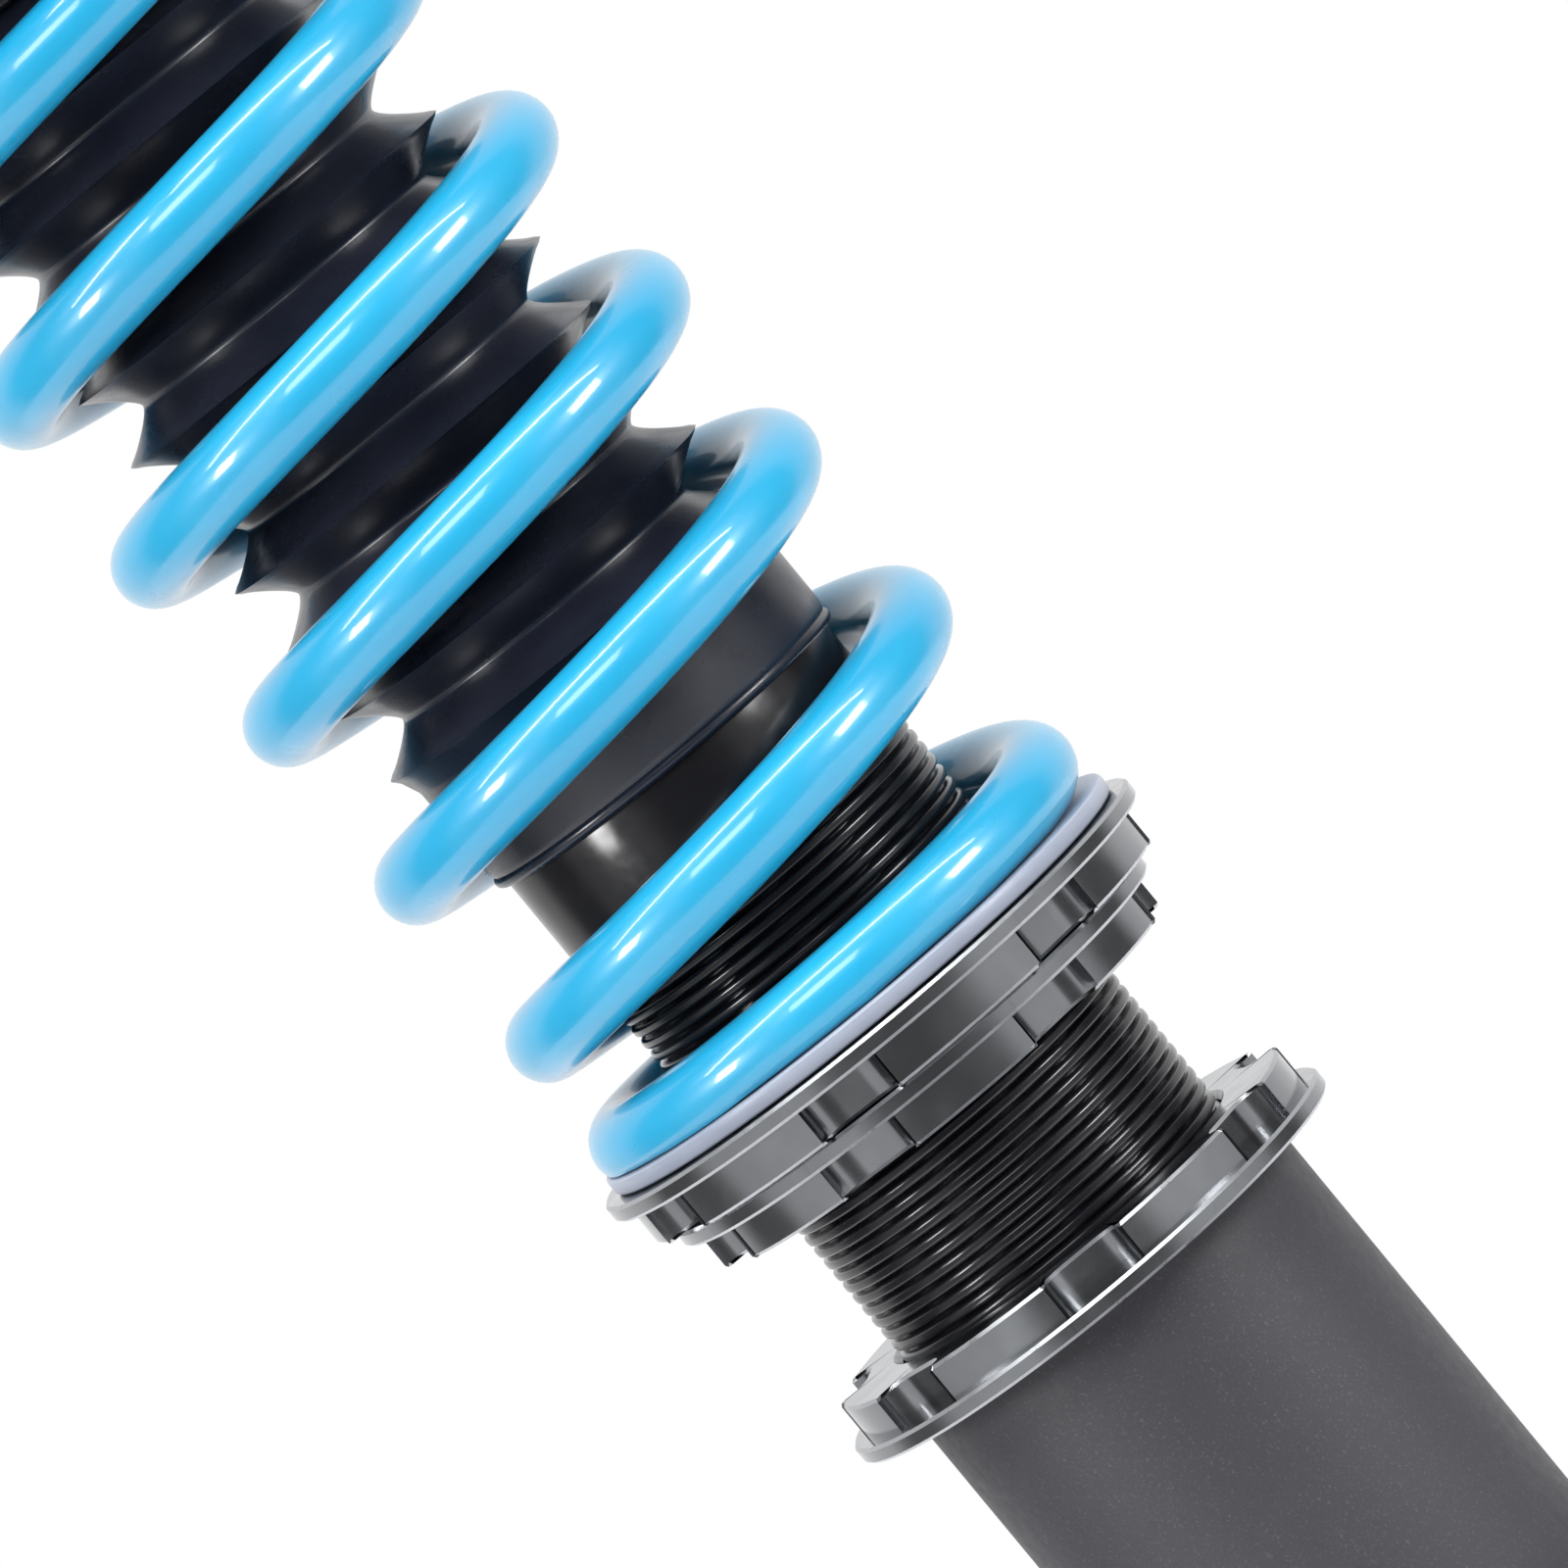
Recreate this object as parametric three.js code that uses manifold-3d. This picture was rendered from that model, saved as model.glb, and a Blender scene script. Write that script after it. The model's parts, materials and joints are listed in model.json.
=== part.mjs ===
// A coilover strut for a car's front axle, standing upright on Z.
// The origin is the centre of the top plate's upper face, which bolts up under the body shell.
// +X points outboard, towards the wheel and its knuckle; the strut hangs down in -Z.
// Lengths are in millimetres and angles in radians.
import * as THREE from "three";
import { mergeVertices } from "three/addons/utils/BufferGeometryUtils.js";
import Module from "manifold-3d";

const wasm = await Module();
wasm.setup();

// ---- Driving dimensions --------------------------------------------------------------------

const roundSides = 36; // sides of the large turned pieces
const innerSides = 24; // sides of what is hidden inside the damper and the bearing
const smallSides = 20; // sides of bolts, studs and holes
const arcSteps = 6; // steps of each arc in a flat outline, as three.js counts them
const contactGap = 0.2; // between faces that rest on each other
const fitGap = 0.3; // radial, between a bore and what it holds
const overcut = 1; // how far a cutter passes the face it cuts

// Damper body
const threadDiameter = 54;
const bodyWall = 4;
const bodyChamfer = 1;
const bodyLength = 216;
const baseCapThickness = 12;
const bodyAboveCollar = 64; // from the lock collar's top to the body's top end

// Coil spring
const springClearance = 4; // radial, between the body's thread and the spring
const springFreeLength = 180;
const wireDiameter = 11; // bar with its powder coat
const coatOverlap = 0.1; // how far the coat takes the wire into the spring's bare bore
const springPitch = 27.12;
const springEndRise = 7.2; // rise per turn of the closed end coils
const springEndTurns = 0.806;
const springEndSoftness = 0.08; // in turns, how gently the end coil opens out
const springTipThickness = 4.87; // what is left of the wire at the ground tip
const springTipAngle = THREE.MathUtils.degToRad(70);
const springStepsPerTurn = 18;
const wireArcSteps = 4;

// Castellated rings
const ringTierWidth = 10.1; // radial, from the thread to the notched rim
const ringFlangeLip = 2.4; // radial, how far the flange stands out from the rim
const ringFlangeThickness = 2.5;
const ringHeight = 7.8;
const threadBetweenRings = 24.3;
const notchCount = 7;
const notchWidth = 12.7;
const notchDepth = 4;
const notchCornerRadius = 3.2;

// Spring seat and its washers
const seatFlangeMargin = 2.5; // radial, beyond the spring
const seatFlangeLip = 2.45; // radial, how far the flange stands out from the rim
const seatFlangeThickness = 2.5;
const seatHeight = 8.2;
const washerMargin = 0.2; // radial, beyond the spring
const washerThickness = 2.5;

// Bracket at the foot
const tubeWall = 3.5;
const tubeLength = 150;
const tubePlugThickness = 6;
const bracketThickness = 5;
const bracketDrop = 72; // from the tube's top to the bracket's top corner
const bracketHeight = 88;
const wrapSteps = 12; // steps of the bracket's wrap
const knuckleGap = 38; // between the ears
const kneeReach = 38; // where the ears become parallel
const boltReach = 54; // from the strut's axis to the knuckle bolts
const boltSpacing = 55;
const boltHoleDiameter = 14.5;
const earEndRadius = 16;
const wrapSlope = 16; // how much lower the wrap's back edge is than the ears' edge
const webThickness = 4;
const webGap = 2; // between the tube and the web
const webMargin = 7; // how much shorter than the bracket it is, at each end
const swayTabThickness = 6;
const swayTabReach = 24; // from the wrap to the hole
const swayTabEndRadius = 12;
const swayHoleDiameter = 12.5;
const swayTabDrop = 112;
const hoseTabThickness = 3;
const hoseTabReach = 16;
const hoseTabEndRadius = 9;
const hoseHoleDiameter = 10.5;
const hoseTabDrop = 96;
const tabRootSpread = 1.4; // the tabs' root width over their end's

// Dust boot and bump stop
const bootSpringGap = 0.6; // radial, between the crests and the spring
const bootWall = 1.5;
const bootShoulder = 3; // height of the slope at each end of the bellows
const bootTopInsertion = 9;
const cuffWall = 1.4;
const cuffLength = 17.5;
const cuffBelowBodyTop = 14.5;
const bumpStopLength = 60;
const bumpStopWaistShare = 0.7; // of the foam's full width, from the rod outwards
const bumpStopTipShare = 0.5;
const bumpCupGap = 1.6; // radial, between the cup and the boot's neck
const bumpCupThickness = 1.5;
const bumpCupDepth = 7;

// Piston rod and what is on it
const rodDiameter = 22;
const rodBore = 8;
const rodTopDiameter = 14;
const rodTopProtrusion = 14; // above the top plate's upper face
const rodTailDiameter = 12;
const rodTailLength = 40;
const pistonHeight = 18;
const pistonBandHeight = 10;
const pistonBandThickness = 1.2;
const valveStackHeight = 4;
const valveStackDiameter = 32;
const pistonNutHeight = 10;
const pistonNutAcross = 21;
const reboundStopHeight = 8;
const reboundStopWall = 6;
const guideHeight = 14;
const sealHeight = 4;
const glandHeight = 10;
const glandFlangeThickness = 2;
const glandFlangeStep = 1; // radial, how far the flange stays inside the body's rim
const gasPistonHeight = 16;
const gasPistonBowlDepth = 5; // a hollow in its lower face
const gasPistonBowlRadius = 14;
const gasPistonDrop = 152; // from the body's top to the gas piston's top
const gasRingHeight = 4;
const gasRingThickness = 2;

// Top mount
const plateThickness = 8;
const studCircleRadius = 60;
const plateLobeRadius = 16;
const studCount = 3;
const studDiameter = 8;
const studLength = 28; // above the plate
const studChamfer = 1;
const studHeadDiameter = 15;
const studHeadThickness = 2.5;
const studNutAcross = 13;
const studNutHeight = 8;
const studNutFlangeDiameter = 17.6;
const studNutFlangeThickness = 1.6;
const studNutLift = 14; // leaves room for the body shell
const camberTravel = 10; // each way along X
const camberOpeningWidth = 31;
const camberOpeningLength = 31;
const sliderSide = 62;
const sliderCornerRadius = 6;
const sliderThickness = 18;
const sliderShoulder = 2;
const sliderShoulderBore = 29;
const sliderBoltX = 19;
const sliderBoltY = 23;
const sliderBoltDiameter = 6;
const sliderBoltLength = 20;
const sliderBoltHeadDiameter = 10;
const sliderBoltHeadHeight = 6;
const sliderBoltSocket = 5;
const sliderBoltSocketDepth = 3;
const sliderBoltChamfer = 0.6;
const sliderHoleSpare = 1.2; // how much deeper the holes are than the bolts
const slotWidth = 7;

// Spherical bearing
const ballDiameter = 25;
const ballHeight = 18;
const ballSteps = 7; // steps of the ball's outline
const raceDiameter = 34;
const raceHeight = 13;
const circlipThickness = 1.2;
const circlipWidth = 3;
const circlipGroove = 1;
const circlipOpening = THREE.MathUtils.degToRad(40);
const spacerTopDiameter = 19;
const spacerConeHeight = 7;
const spacerConeDiameter = 32;
const spacerFlangeDiameter = 42;
const spacerFlangeThickness = 2.5;
const collarDiameter = 20;
const collarHeight = 6;
const rodNutAcross = 22;
const rodNutHeight = 11;
const nutCornerDrop = 1.2; // how far a nut's corners are turned down
const nutCrownInset = 0.3; // its crown's radius under half its width
const knobDiameter = 14;
const knobHeight = 11;
const knobChamfer = 1;
const adjusterStemInset = 1; // how far the stem stops inside the rod's end

// Thrust bearing and upper spring seat
const thrustRodGap = 2; // radial, between the rod and the thrust bearing
const thrustRaceThickness = 1;
const thrustCageThickness = 2;
const upperSeatMargin = 1; // radial, beyond the spring
const upperSeatThickness = 5;
const pilotLength = 14;
const pilotWall = 4.2;
const pilotLead = 1.2; // chamfer that guides the spring on
const upperSeatChamfer = 1;

// ---- Sizes worked out from them --------------------------------------------------------------

const threadRadius = threadDiameter / 2;
const wireRadius = wireDiameter / 2;
const springInner = threadRadius + springClearance; // of the bare spring: its bore's radius
const springOuter = springInner + wireDiameter;
const coilRadius = springInner + wireRadius - coatOverlap; // mean radius
const ringTierRadius = threadRadius + ringTierWidth;
const seatFlangeRadius = springOuter + seatFlangeMargin;
const washerRadius = springOuter + washerMargin;
const boreRadius = threadRadius - bodyWall; // inside the damper body
const threadedBore = threadRadius + fitGap; // of everything screwed onto the body
const innerFit = boreRadius - fitGap; // of everything that slides or screws inside it
const rodRadius = rodDiameter / 2;
const rodTopRadius = rodTopDiameter / 2;
const rodTailRadius = rodTailDiameter / 2;
const rodBoreRadius = rodBore / 2;
const pilotRadius = springInner - 2 * fitGap;
const pilotBore = pilotRadius - pilotWall;
const bootNeck = pilotBore - fitGap;
const bootCrest = springInner - bootSpringGap;
const bumpCupRadius = bootNeck - bootWall - bumpCupGap;
const bumpStopRadius = bumpCupRadius - bumpCupThickness - fitGap;

// Heights, from the top plate down.
const plateBottom = -plateThickness;
const sliderTop = plateBottom - contactGap;
const sliderBottom = sliderTop - sliderThickness;
const raceTop = sliderTop - sliderShoulder - contactGap;
const raceBottom = raceTop - raceHeight;
const ballCentre = (raceTop + raceBottom) / 2;
const ballTop = ballCentre + ballHeight / 2;
const ballBottom = ballCentre - ballHeight / 2;
const spacerTop = ballBottom - contactGap;
const spacerBottom = spacerTop - spacerConeHeight - spacerFlangeThickness;
const upperRaceTop = spacerBottom - contactGap;
const cageTop = upperRaceTop - thrustRaceThickness - contactGap;
const lowerRaceTop = cageTop - thrustCageThickness - contactGap;
const upperSeatTop = lowerRaceTop - thrustRaceThickness - contactGap;
const upperSeatBottom = upperSeatTop - upperSeatThickness;
const pilotBottom = upperSeatBottom - pilotLength;
const upperWasherTop = upperSeatBottom - contactGap;
const springTop = upperWasherTop - washerThickness - contactGap;
const springBottom = springTop - springFreeLength;
const lowerWasherTop = springBottom - contactGap;
const seatTop = lowerWasherTop - washerThickness - contactGap;
const seatBottom = seatTop - seatHeight;
const collarTop = seatBottom - contactGap;
const collarBottom = collarTop - ringHeight;
const ringTop = collarBottom - threadBetweenRings;
const ringBottom = ringTop - ringHeight;
const tubeTop = ringBottom - contactGap;
const tubeBottom = tubeTop - tubeLength;
const bodyTop = collarTop + bodyAboveCollar;
const bodyBottom = bodyTop - bodyLength;
const glandTop = bodyTop + contactGap + glandFlangeThickness;
const glandBottom = glandTop - glandHeight;
const sealTop = glandBottom - contactGap;
const guideTop = sealTop - sealHeight - contactGap;
const guideBottom = guideTop - guideHeight;
const reboundStopTop = guideBottom - contactGap;
const rodShoulder = reboundStopTop - reboundStopHeight - 2 * valveStackHeight;
const compressionStackTop = rodShoulder - contactGap;
const pistonTop = compressionStackTop - valveStackHeight - contactGap;
const reboundStackTop = pistonTop - pistonHeight - contactGap;
const pistonNutTop = reboundStackTop - valveStackHeight - contactGap;
const rodEnd = rodShoulder - rodTailLength;
const gasPistonTop = bodyTop - gasPistonDrop;
const cuffBottom = bodyTop - cuffBelowBodyTop;
const bootTop = pilotBottom + bootTopInsertion;
const bumpCupTop = upperSeatBottom - contactGap;
const bumpStopTop = bumpCupTop - bumpCupThickness - contactGap;

// Outlines of the bracket.
const wrapInner = threadedBore + tubeWall + fitGap;
const wrapOuter = wrapInner + bracketThickness;
const tubeRadius = threadedBore + tubeWall;
const earInner = knuckleGap / 2;
const earOuter = earInner + bracketThickness;
const wrapAngle =
  Math.atan2(earInner, kneeReach) + Math.acos(wrapInner / Math.hypot(earInner, kneeReach));
const bracketTop = tubeTop - bracketDrop;
const bracketBottom = bracketTop - bracketHeight;
const bracketMiddle = (bracketTop + bracketBottom) / 2;

// ---- Helpers ---------------------------------------------------------------------------------

// A closed three.js geometry as a solid that can be joined and cut.
function solid(geometry) {
  const bare = geometry.clone();
  bare.deleteAttribute("normal");
  bare.deleteAttribute("uv");
  const merged = mergeVertices(bare, 1e-4);
  return new wasm.Manifold(
    new wasm.Mesh({
      numProp: 3,
      vertProperties: merged.getAttribute("position").array,
      triVerts: new Uint32Array(merged.index.array),
    }),
  );
}

// A solid as a three.js geometry again.
function geometryOf(manifold) {
  const made = manifold.getMesh();
  const geometry = new THREE.BufferGeometry();
  geometry.setAttribute("position", new THREE.BufferAttribute(made.vertProperties, 3));
  geometry.setIndex(new THREE.BufferAttribute(made.triVerts, 1));
  geometry.computeVertexNormals();
  return geometry;
}

// Turns a closed outline of [radius, height] points about Z. The points run anticlockwise.
function turned(outline, sides = roundSides) {
  const points = outline.map(([radius, height]) => new THREE.Vector2(radius, height));
  points.push(points[0].clone());
  return new THREE.LatheGeometry(points, sides).rotateX(Math.PI / 2);
}

// A plain ring from one height to another.
function ring(inner, outer, bottom, top, sides = roundSides) {
  return turned([[inner, bottom], [outer, bottom], [outer, top], [inner, top]], sides);
}

// The same for the pieces hidden inside.
function innerTurned(outline) {
  return turned(outline, innerSides);
}

function innerRing(inner, outer, bottom, top) {
  return ring(inner, outer, bottom, top, innerSides);
}

// A flat outline given a thickness, from one height to another.
function slab(shape, bottom, top, curveSegments = arcSteps) {
  const options = { depth: top - bottom, bevelEnabled: false, curveSegments };
  return new THREE.ExtrudeGeometry(shape, options).translate(0, 0, bottom);
}

// A round bar that cuts a hole.
function bar(radius, bottom, top, x = 0, y = 0, sides = smallSides) {
  const cylinder = new THREE.CylinderGeometry(radius, radius, top - bottom, sides);
  return cylinder.rotateX(Math.PI / 2).translate(x, y, (top + bottom) / 2);
}

// A regular hexagon measured across its flats.
function hexagon(across) {
  const corners = [];
  for (let k = 0; k < 6; k++) {
    const angle = (k + 0.5) * (Math.PI / 3);
    const radius = across / 2 / Math.cos(Math.PI / 6);
    corners.push(new THREE.Vector2(radius * Math.cos(angle), radius * Math.sin(angle)));
  }
  return new THREE.Shape(corners);
}

// A slot with round ends, along X.
function slotShape(length, width, x = 0, y = 0) {
  const radius = width / 2;
  const half = length / 2 - radius;
  const shape = new THREE.Shape();
  shape.absarc(x + half, y, radius, -Math.PI / 2, Math.PI / 2, false);
  shape.absarc(x - half, y, radius, Math.PI / 2, 1.5 * Math.PI, false);
  return shape;
}

// A rectangle with round corners, centred on the axis.
function roundedRectangle(width, height, radius) {
  const x = width / 2 - radius;
  const y = height / 2 - radius;
  const shape = new THREE.Shape();
  shape.absarc(x, y, radius, 0, Math.PI / 2, false);
  shape.absarc(-x, y, radius, Math.PI / 2, Math.PI, false);
  shape.absarc(-x, -y, radius, Math.PI, 1.5 * Math.PI, false);
  shape.absarc(x, -y, radius, 1.5 * Math.PI, 2 * Math.PI, false);
  return shape;
}

// Points of an arc about a centre on the axis, as [radius, height].
function arcPoints(radius, from, to, height, steps) {
  const points = [];
  for (let k = 0; k <= steps; k++) {
    const angle = from + ((to - from) * k) / steps;
    points.push([radius * Math.cos(angle), height + radius * Math.sin(angle)]);
  }
  return points;
}

const part = new THREE.Group();

// Adds a named piece, with a finish of its own.
function add(name, geometry, colour, roughness, metalness) {
  const material = new THREE.MeshStandardMaterial({ color: colour, roughness, metalness });
  const mesh = new THREE.Mesh(geometry, material);
  mesh.name = name;
  part.add(mesh);
}

// ---- Top plate, studs and nuts ---------------------------------------------------------------

// A rounded triangle with a lobe at each stud, a long opening for the rod nut,
// and four slots along X for the slider's bolts.
function topPlate() {
  const shape = new THREE.Shape();
  const turn = (2 * Math.PI) / studCount;
  for (let k = 0; k < studCount; k++) {
    const angle = k * turn;
    const x = studCircleRadius * Math.cos(angle);
    const y = studCircleRadius * Math.sin(angle);
    shape.absarc(x, y, plateLobeRadius, angle - turn / 2, angle + turn / 2, false);
  }
  const openingLength = camberOpeningLength + 2 * camberTravel;
  shape.holes.push(slotShape(openingLength, camberOpeningWidth));
  const slotLength = slotWidth + 2 * camberTravel;
  for (const x of [-sliderBoltX, sliderBoltX])
    for (const y of [-sliderBoltY, sliderBoltY])
      shape.holes.push(slotShape(slotLength, slotWidth, x, y));
  let plate = solid(slab(shape, plateBottom, 0));
  for (const [x, y] of studPlaces())
    plate = plate.subtract(solid(bar(studDiameter / 2 + fitGap, plateBottom - overcut, overcut, x, y)));
  return geometryOf(plate);
}

function studPlaces() {
  const places = [];
  for (let k = 0; k < studCount; k++) {
    const angle = (k * 2 * Math.PI) / studCount;
    places.push([studCircleRadius * Math.cos(angle), studCircleRadius * Math.sin(angle)]);
  }
  return places;
}

// A stud with a flat head under the plate.
function stud() {
  const headTop = plateBottom - contactGap;
  const headBottom = headTop - studHeadThickness;
  return turned(
    [
      [0, headBottom],
      [studHeadDiameter / 2, headBottom],
      [studHeadDiameter / 2, headTop],
      [studDiameter / 2, headTop],
      [studDiameter / 2, studLength - studChamfer],
      [studDiameter / 2 - studChamfer, studLength],
      [0, studLength],
    ],
    smallSides,
  );
}

// A hexagon nut with a round flange under it.
function flangeNut() {
  const base = studNutLift + studNutFlangeThickness;
  const flange = solid(bar(studNutFlangeDiameter / 2, studNutLift, base));
  const hex = solid(slab(hexagon(studNutAcross), base - overcut, studNutLift + studNutHeight));
  const hole = solid(bar(studDiameter / 2 + fitGap, studNutLift - overcut, studLength));
  return geometryOf(flange.add(hex).subtract(hole));
}

add("top_plate", topPlate(), "#2b2c30", 0.45, 0.8);
studPlaces().forEach(([x, y], k) => {
  add(`plate_stud_${k + 1}`, stud().translate(x, y, 0), "#b9b48f", 0.35, 0.9);
  add(`stud_nut_${k + 1}`, flangeNut().translate(x, y, 0), "#b9b48f", 0.35, 0.9);
});

// ---- Camber slider and its bolts -------------------------------------------------------------

// A square block that hangs under the plate and holds the spherical bearing.
function slider() {
  const outline = roundedRectangle(sliderSide, sliderSide, sliderCornerRadius);
  let block = solid(slab(outline, sliderBottom, sliderTop));
  const seat = raceTop + contactGap;
  const raceBore = raceDiameter / 2 + fitGap;
  const grooveTop = raceBottom;
  const grooveBottom = raceBottom - circlipThickness - 2 * contactGap;
  block = block.subtract(solid(bar(raceBore, sliderBottom - overcut, seat, 0, 0, roundSides)));
  const shoulder = bar(sliderShoulderBore / 2, seat - overcut, overcut, 0, 0, roundSides);
  block = block.subtract(solid(shoulder));
  const groove = bar(raceBore + circlipGroove, grooveBottom, grooveTop, 0, 0, roundSides);
  block = block.subtract(solid(groove));
  const holeRadius = sliderBoltDiameter / 2 + fitGap;
  const holeBottom = -sliderBoltLength - sliderHoleSpare;
  for (const [x, y] of sliderBoltPlaces())
    block = block.subtract(solid(bar(holeRadius, holeBottom, overcut, x, y)));
  return geometryOf(block);
}

function sliderBoltPlaces() {
  return [
    [sliderBoltX, sliderBoltY],
    [-sliderBoltX, sliderBoltY],
    [-sliderBoltX, -sliderBoltY],
    [sliderBoltX, -sliderBoltY],
  ];
}

// A socket head cap screw, head up, on the plate's upper face.
function capScrew() {
  const under = contactGap;
  const top = under + sliderBoltHeadHeight;
  const screw = turned(
    [
      [0, -sliderBoltLength],
      [sliderBoltDiameter / 2, -sliderBoltLength],
      [sliderBoltDiameter / 2, under],
      [sliderBoltHeadDiameter / 2, under],
      [sliderBoltHeadDiameter / 2, top - sliderBoltChamfer],
      [sliderBoltHeadDiameter / 2 - sliderBoltChamfer, top],
      [0, top],
    ],
    smallSides,
  );
  const socket = slab(hexagon(sliderBoltSocket), top - sliderBoltSocketDepth, top + overcut);
  return geometryOf(solid(screw).subtract(solid(socket)));
}

add("camber_slider", slider(), "#8d9097", 0.4, 0.85);
sliderBoltPlaces().forEach(([x, y], k) => {
  add(`slider_bolt_${k + 1}`, capScrew().translate(x, y, 0), "#1d1d1f", 0.45, 0.8);
});

// ---- Spherical bearing -----------------------------------------------------------------------

// A steel ball with flat faces and a bore for the rod.
function pillowBall() {
  const radius = ballDiameter / 2;
  const cut = Math.asin(ballHeight / ballDiameter);
  const bore = rodTopRadius + fitGap;
  const sphere = arcPoints(radius, -cut, cut, ballCentre, ballSteps);
  return innerTurned([[bore, ballBottom], ...sphere, [bore, ballTop]]);
}

// The outer race, hollowed to the ball's shape.
function ballRace() {
  const hollow = ballDiameter / 2 + fitGap;
  const cut = Math.asin(raceHeight / 2 / hollow);
  return innerTurned([
    [raceDiameter / 2, raceBottom],
    [raceDiameter / 2, raceTop],
    ...arcPoints(hollow, cut, -cut, ballCentre, ballSteps),
  ]);
}

// A split ring in the slider's groove.
function circlip() {
  const outer = raceDiameter / 2 + circlipGroove;
  const inner = outer - circlipWidth;
  const start = circlipOpening / 2;
  const end = 2 * Math.PI - circlipOpening / 2;
  const shape = new THREE.Shape();
  shape.absarc(0, 0, outer, start, end, false);
  shape.absarc(0, 0, inner, end, start, true);
  const top = raceBottom - contactGap;
  return slab(shape, top - circlipThickness, top, innerSides / 2);
}

// The cone that carries the spring's load up into the ball.
function ballSpacer() {
  const bore = rodTopRadius + fitGap;
  const flangeTop = spacerBottom + spacerFlangeThickness;
  return innerTurned([
    [bore, spacerBottom],
    [spacerFlangeDiameter / 2, spacerBottom],
    [spacerFlangeDiameter / 2, flangeTop],
    [spacerConeDiameter / 2, flangeTop],
    [spacerTopDiameter / 2, spacerTop],
    [bore, spacerTop],
  ]);
}

// A hexagon nut with its bore and chamfered corners.
function hexNut(across, bottom, top, bore) {
  const blank = solid(slab(hexagon(across), bottom, top));
  const corner = across / 2 / Math.cos(Math.PI / 6);
  const chamfer = solid(
    turned([
      [0, bottom - overcut],
      [corner + overcut, bottom - overcut],
      [corner + overcut, top - nutCornerDrop],
      [across / 2 - nutCrownInset, top],
      [0, top],
    ]),
  );
  return geometryOf(blank.intersect(chamfer).subtract(solid(bar(bore, bottom - overcut, top + overcut))));
}

const rodCollarBottom = ballTop + contactGap;
const rodNutBottom = rodCollarBottom + collarHeight + contactGap;

add("ball_race", ballRace(), "#9aa0a8", 0.25, 0.95);
add("race_circlip", circlip(), "#3a3a3c", 0.4, 0.9);
add("pillow_ball", pillowBall(), "#c9ccd1", 0.12, 1);
add("ball_spacer", ballSpacer(), "#a9adb3", 0.35, 0.9);
add(
  "rod_collar",
  innerRing(rodTopRadius + fitGap, collarDiameter / 2, rodCollarBottom, rodCollarBottom + collarHeight),
  "#a9adb3",
  0.35,
  0.9,
);
add(
  "rod_top_nut",
  hexNut(rodNutAcross, rodNutBottom, rodNutBottom + rodNutHeight, rodTopRadius + fitGap),
  "#b9b48f",
  0.35,
  0.9,
);

// ---- Thrust bearing and upper spring seat ----------------------------------------------------

const thrustInner = rodRadius + thrustRodGap;
const thrustOuter = spacerFlangeDiameter / 2;

function thrustRing(top, thickness) {
  return innerRing(thrustInner, thrustOuter, top - thickness, top);
}

// A disc with a pilot sleeve that centres the spring and grips the boot.
function upperSeat() {
  const rim = springOuter + upperSeatMargin;
  return turned([
    [rodRadius + 2 * fitGap, upperSeatBottom],
    [pilotBore, upperSeatBottom],
    [pilotBore, pilotBottom],
    [pilotRadius - pilotLead, pilotBottom],
    [pilotRadius, pilotBottom + pilotLead],
    [pilotRadius, upperSeatBottom],
    [rim, upperSeatBottom],
    [rim, upperSeatTop - upperSeatChamfer],
    [rim - upperSeatChamfer, upperSeatTop],
    [rodRadius + 2 * fitGap, upperSeatTop],
  ]);
}

add("thrust_race_upper", thrustRing(upperRaceTop, thrustRaceThickness), "#b5b8bd", 0.3, 0.95);
add("thrust_needle_cage", thrustRing(cageTop, thrustCageThickness), "#8c8f94", 0.4, 0.9);
add("thrust_race_lower", thrustRing(lowerRaceTop, thrustRaceThickness), "#b5b8bd", 0.3, 0.95);
add("upper_spring_seat", upperSeat(), "#47484d", 0.4, 0.85);

// ---- Spring and its washers ------------------------------------------------------------------

function springWasher(top) {
  return ring(pilotRadius + fitGap, washerRadius, top - washerThickness, top);
}

// The line along the middle of the wire. The end coils rise slowly and open smoothly to the
// full pitch; the upper half mirrors the lower one.
class SpringLine extends THREE.Curve {
  constructor() {
    super();
    this.tipHeight = springTipThickness - wireRadius;
    const opening = springPitch - springEndRise;
    this.turns = (springFreeLength - 2 * this.tipHeight + 2 * opening * springEndTurns) / springPitch;
  }

  lowerHeight(turn) {
    const past = turn - springEndTurns;
    const ramp = (past + Math.hypot(past, springEndSoftness)) / 2;
    return this.tipHeight + springEndRise * turn + (springPitch - springEndRise) * ramp;
  }

  getPoint(share, target = new THREE.Vector3()) {
    const turn = share * this.turns;
    const angle = springTipAngle + 2 * Math.PI * turn;
    const lower = turn < this.turns / 2;
    const height = lower
      ? this.lowerHeight(turn)
      : springFreeLength - this.lowerHeight(this.turns - turn);
    const x = coilRadius * Math.cos(angle);
    const y = coilRadius * Math.sin(angle);
    return target.set(x, y, springBottom + height);
  }
}

// The wire, with its ends ground flat.
function coilSpring() {
  const section = new THREE.Shape();
  section.absarc(0, 0, wireRadius, 0, 2 * Math.PI, false);
  const line = new SpringLine();
  const wire = new THREE.ExtrudeGeometry(section, {
    steps: Math.round(line.turns * springStepsPerTurn),
    extrudePath: line,
    curveSegments: wireArcSteps,
  });
  const reach = coilRadius + 2 * wireRadius;
  const between = new THREE.BoxGeometry(2 * reach, 2 * reach, springFreeLength);
  between.translate(0, 0, (springTop + springBottom) / 2);
  return geometryOf(solid(wire).intersect(solid(between)));
}

add("upper_spring_washer", springWasher(upperWasherTop), "#c9c8d6", 0.5, 0);
add("lower_spring_washer", springWasher(lowerWasherTop), "#c9c8d6", 0.5, 0);
add("coil_spring", coilSpring(), "#2f9be0", 0.3, 0);

// ---- Castellated rings on the thread ---------------------------------------------------------

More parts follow.
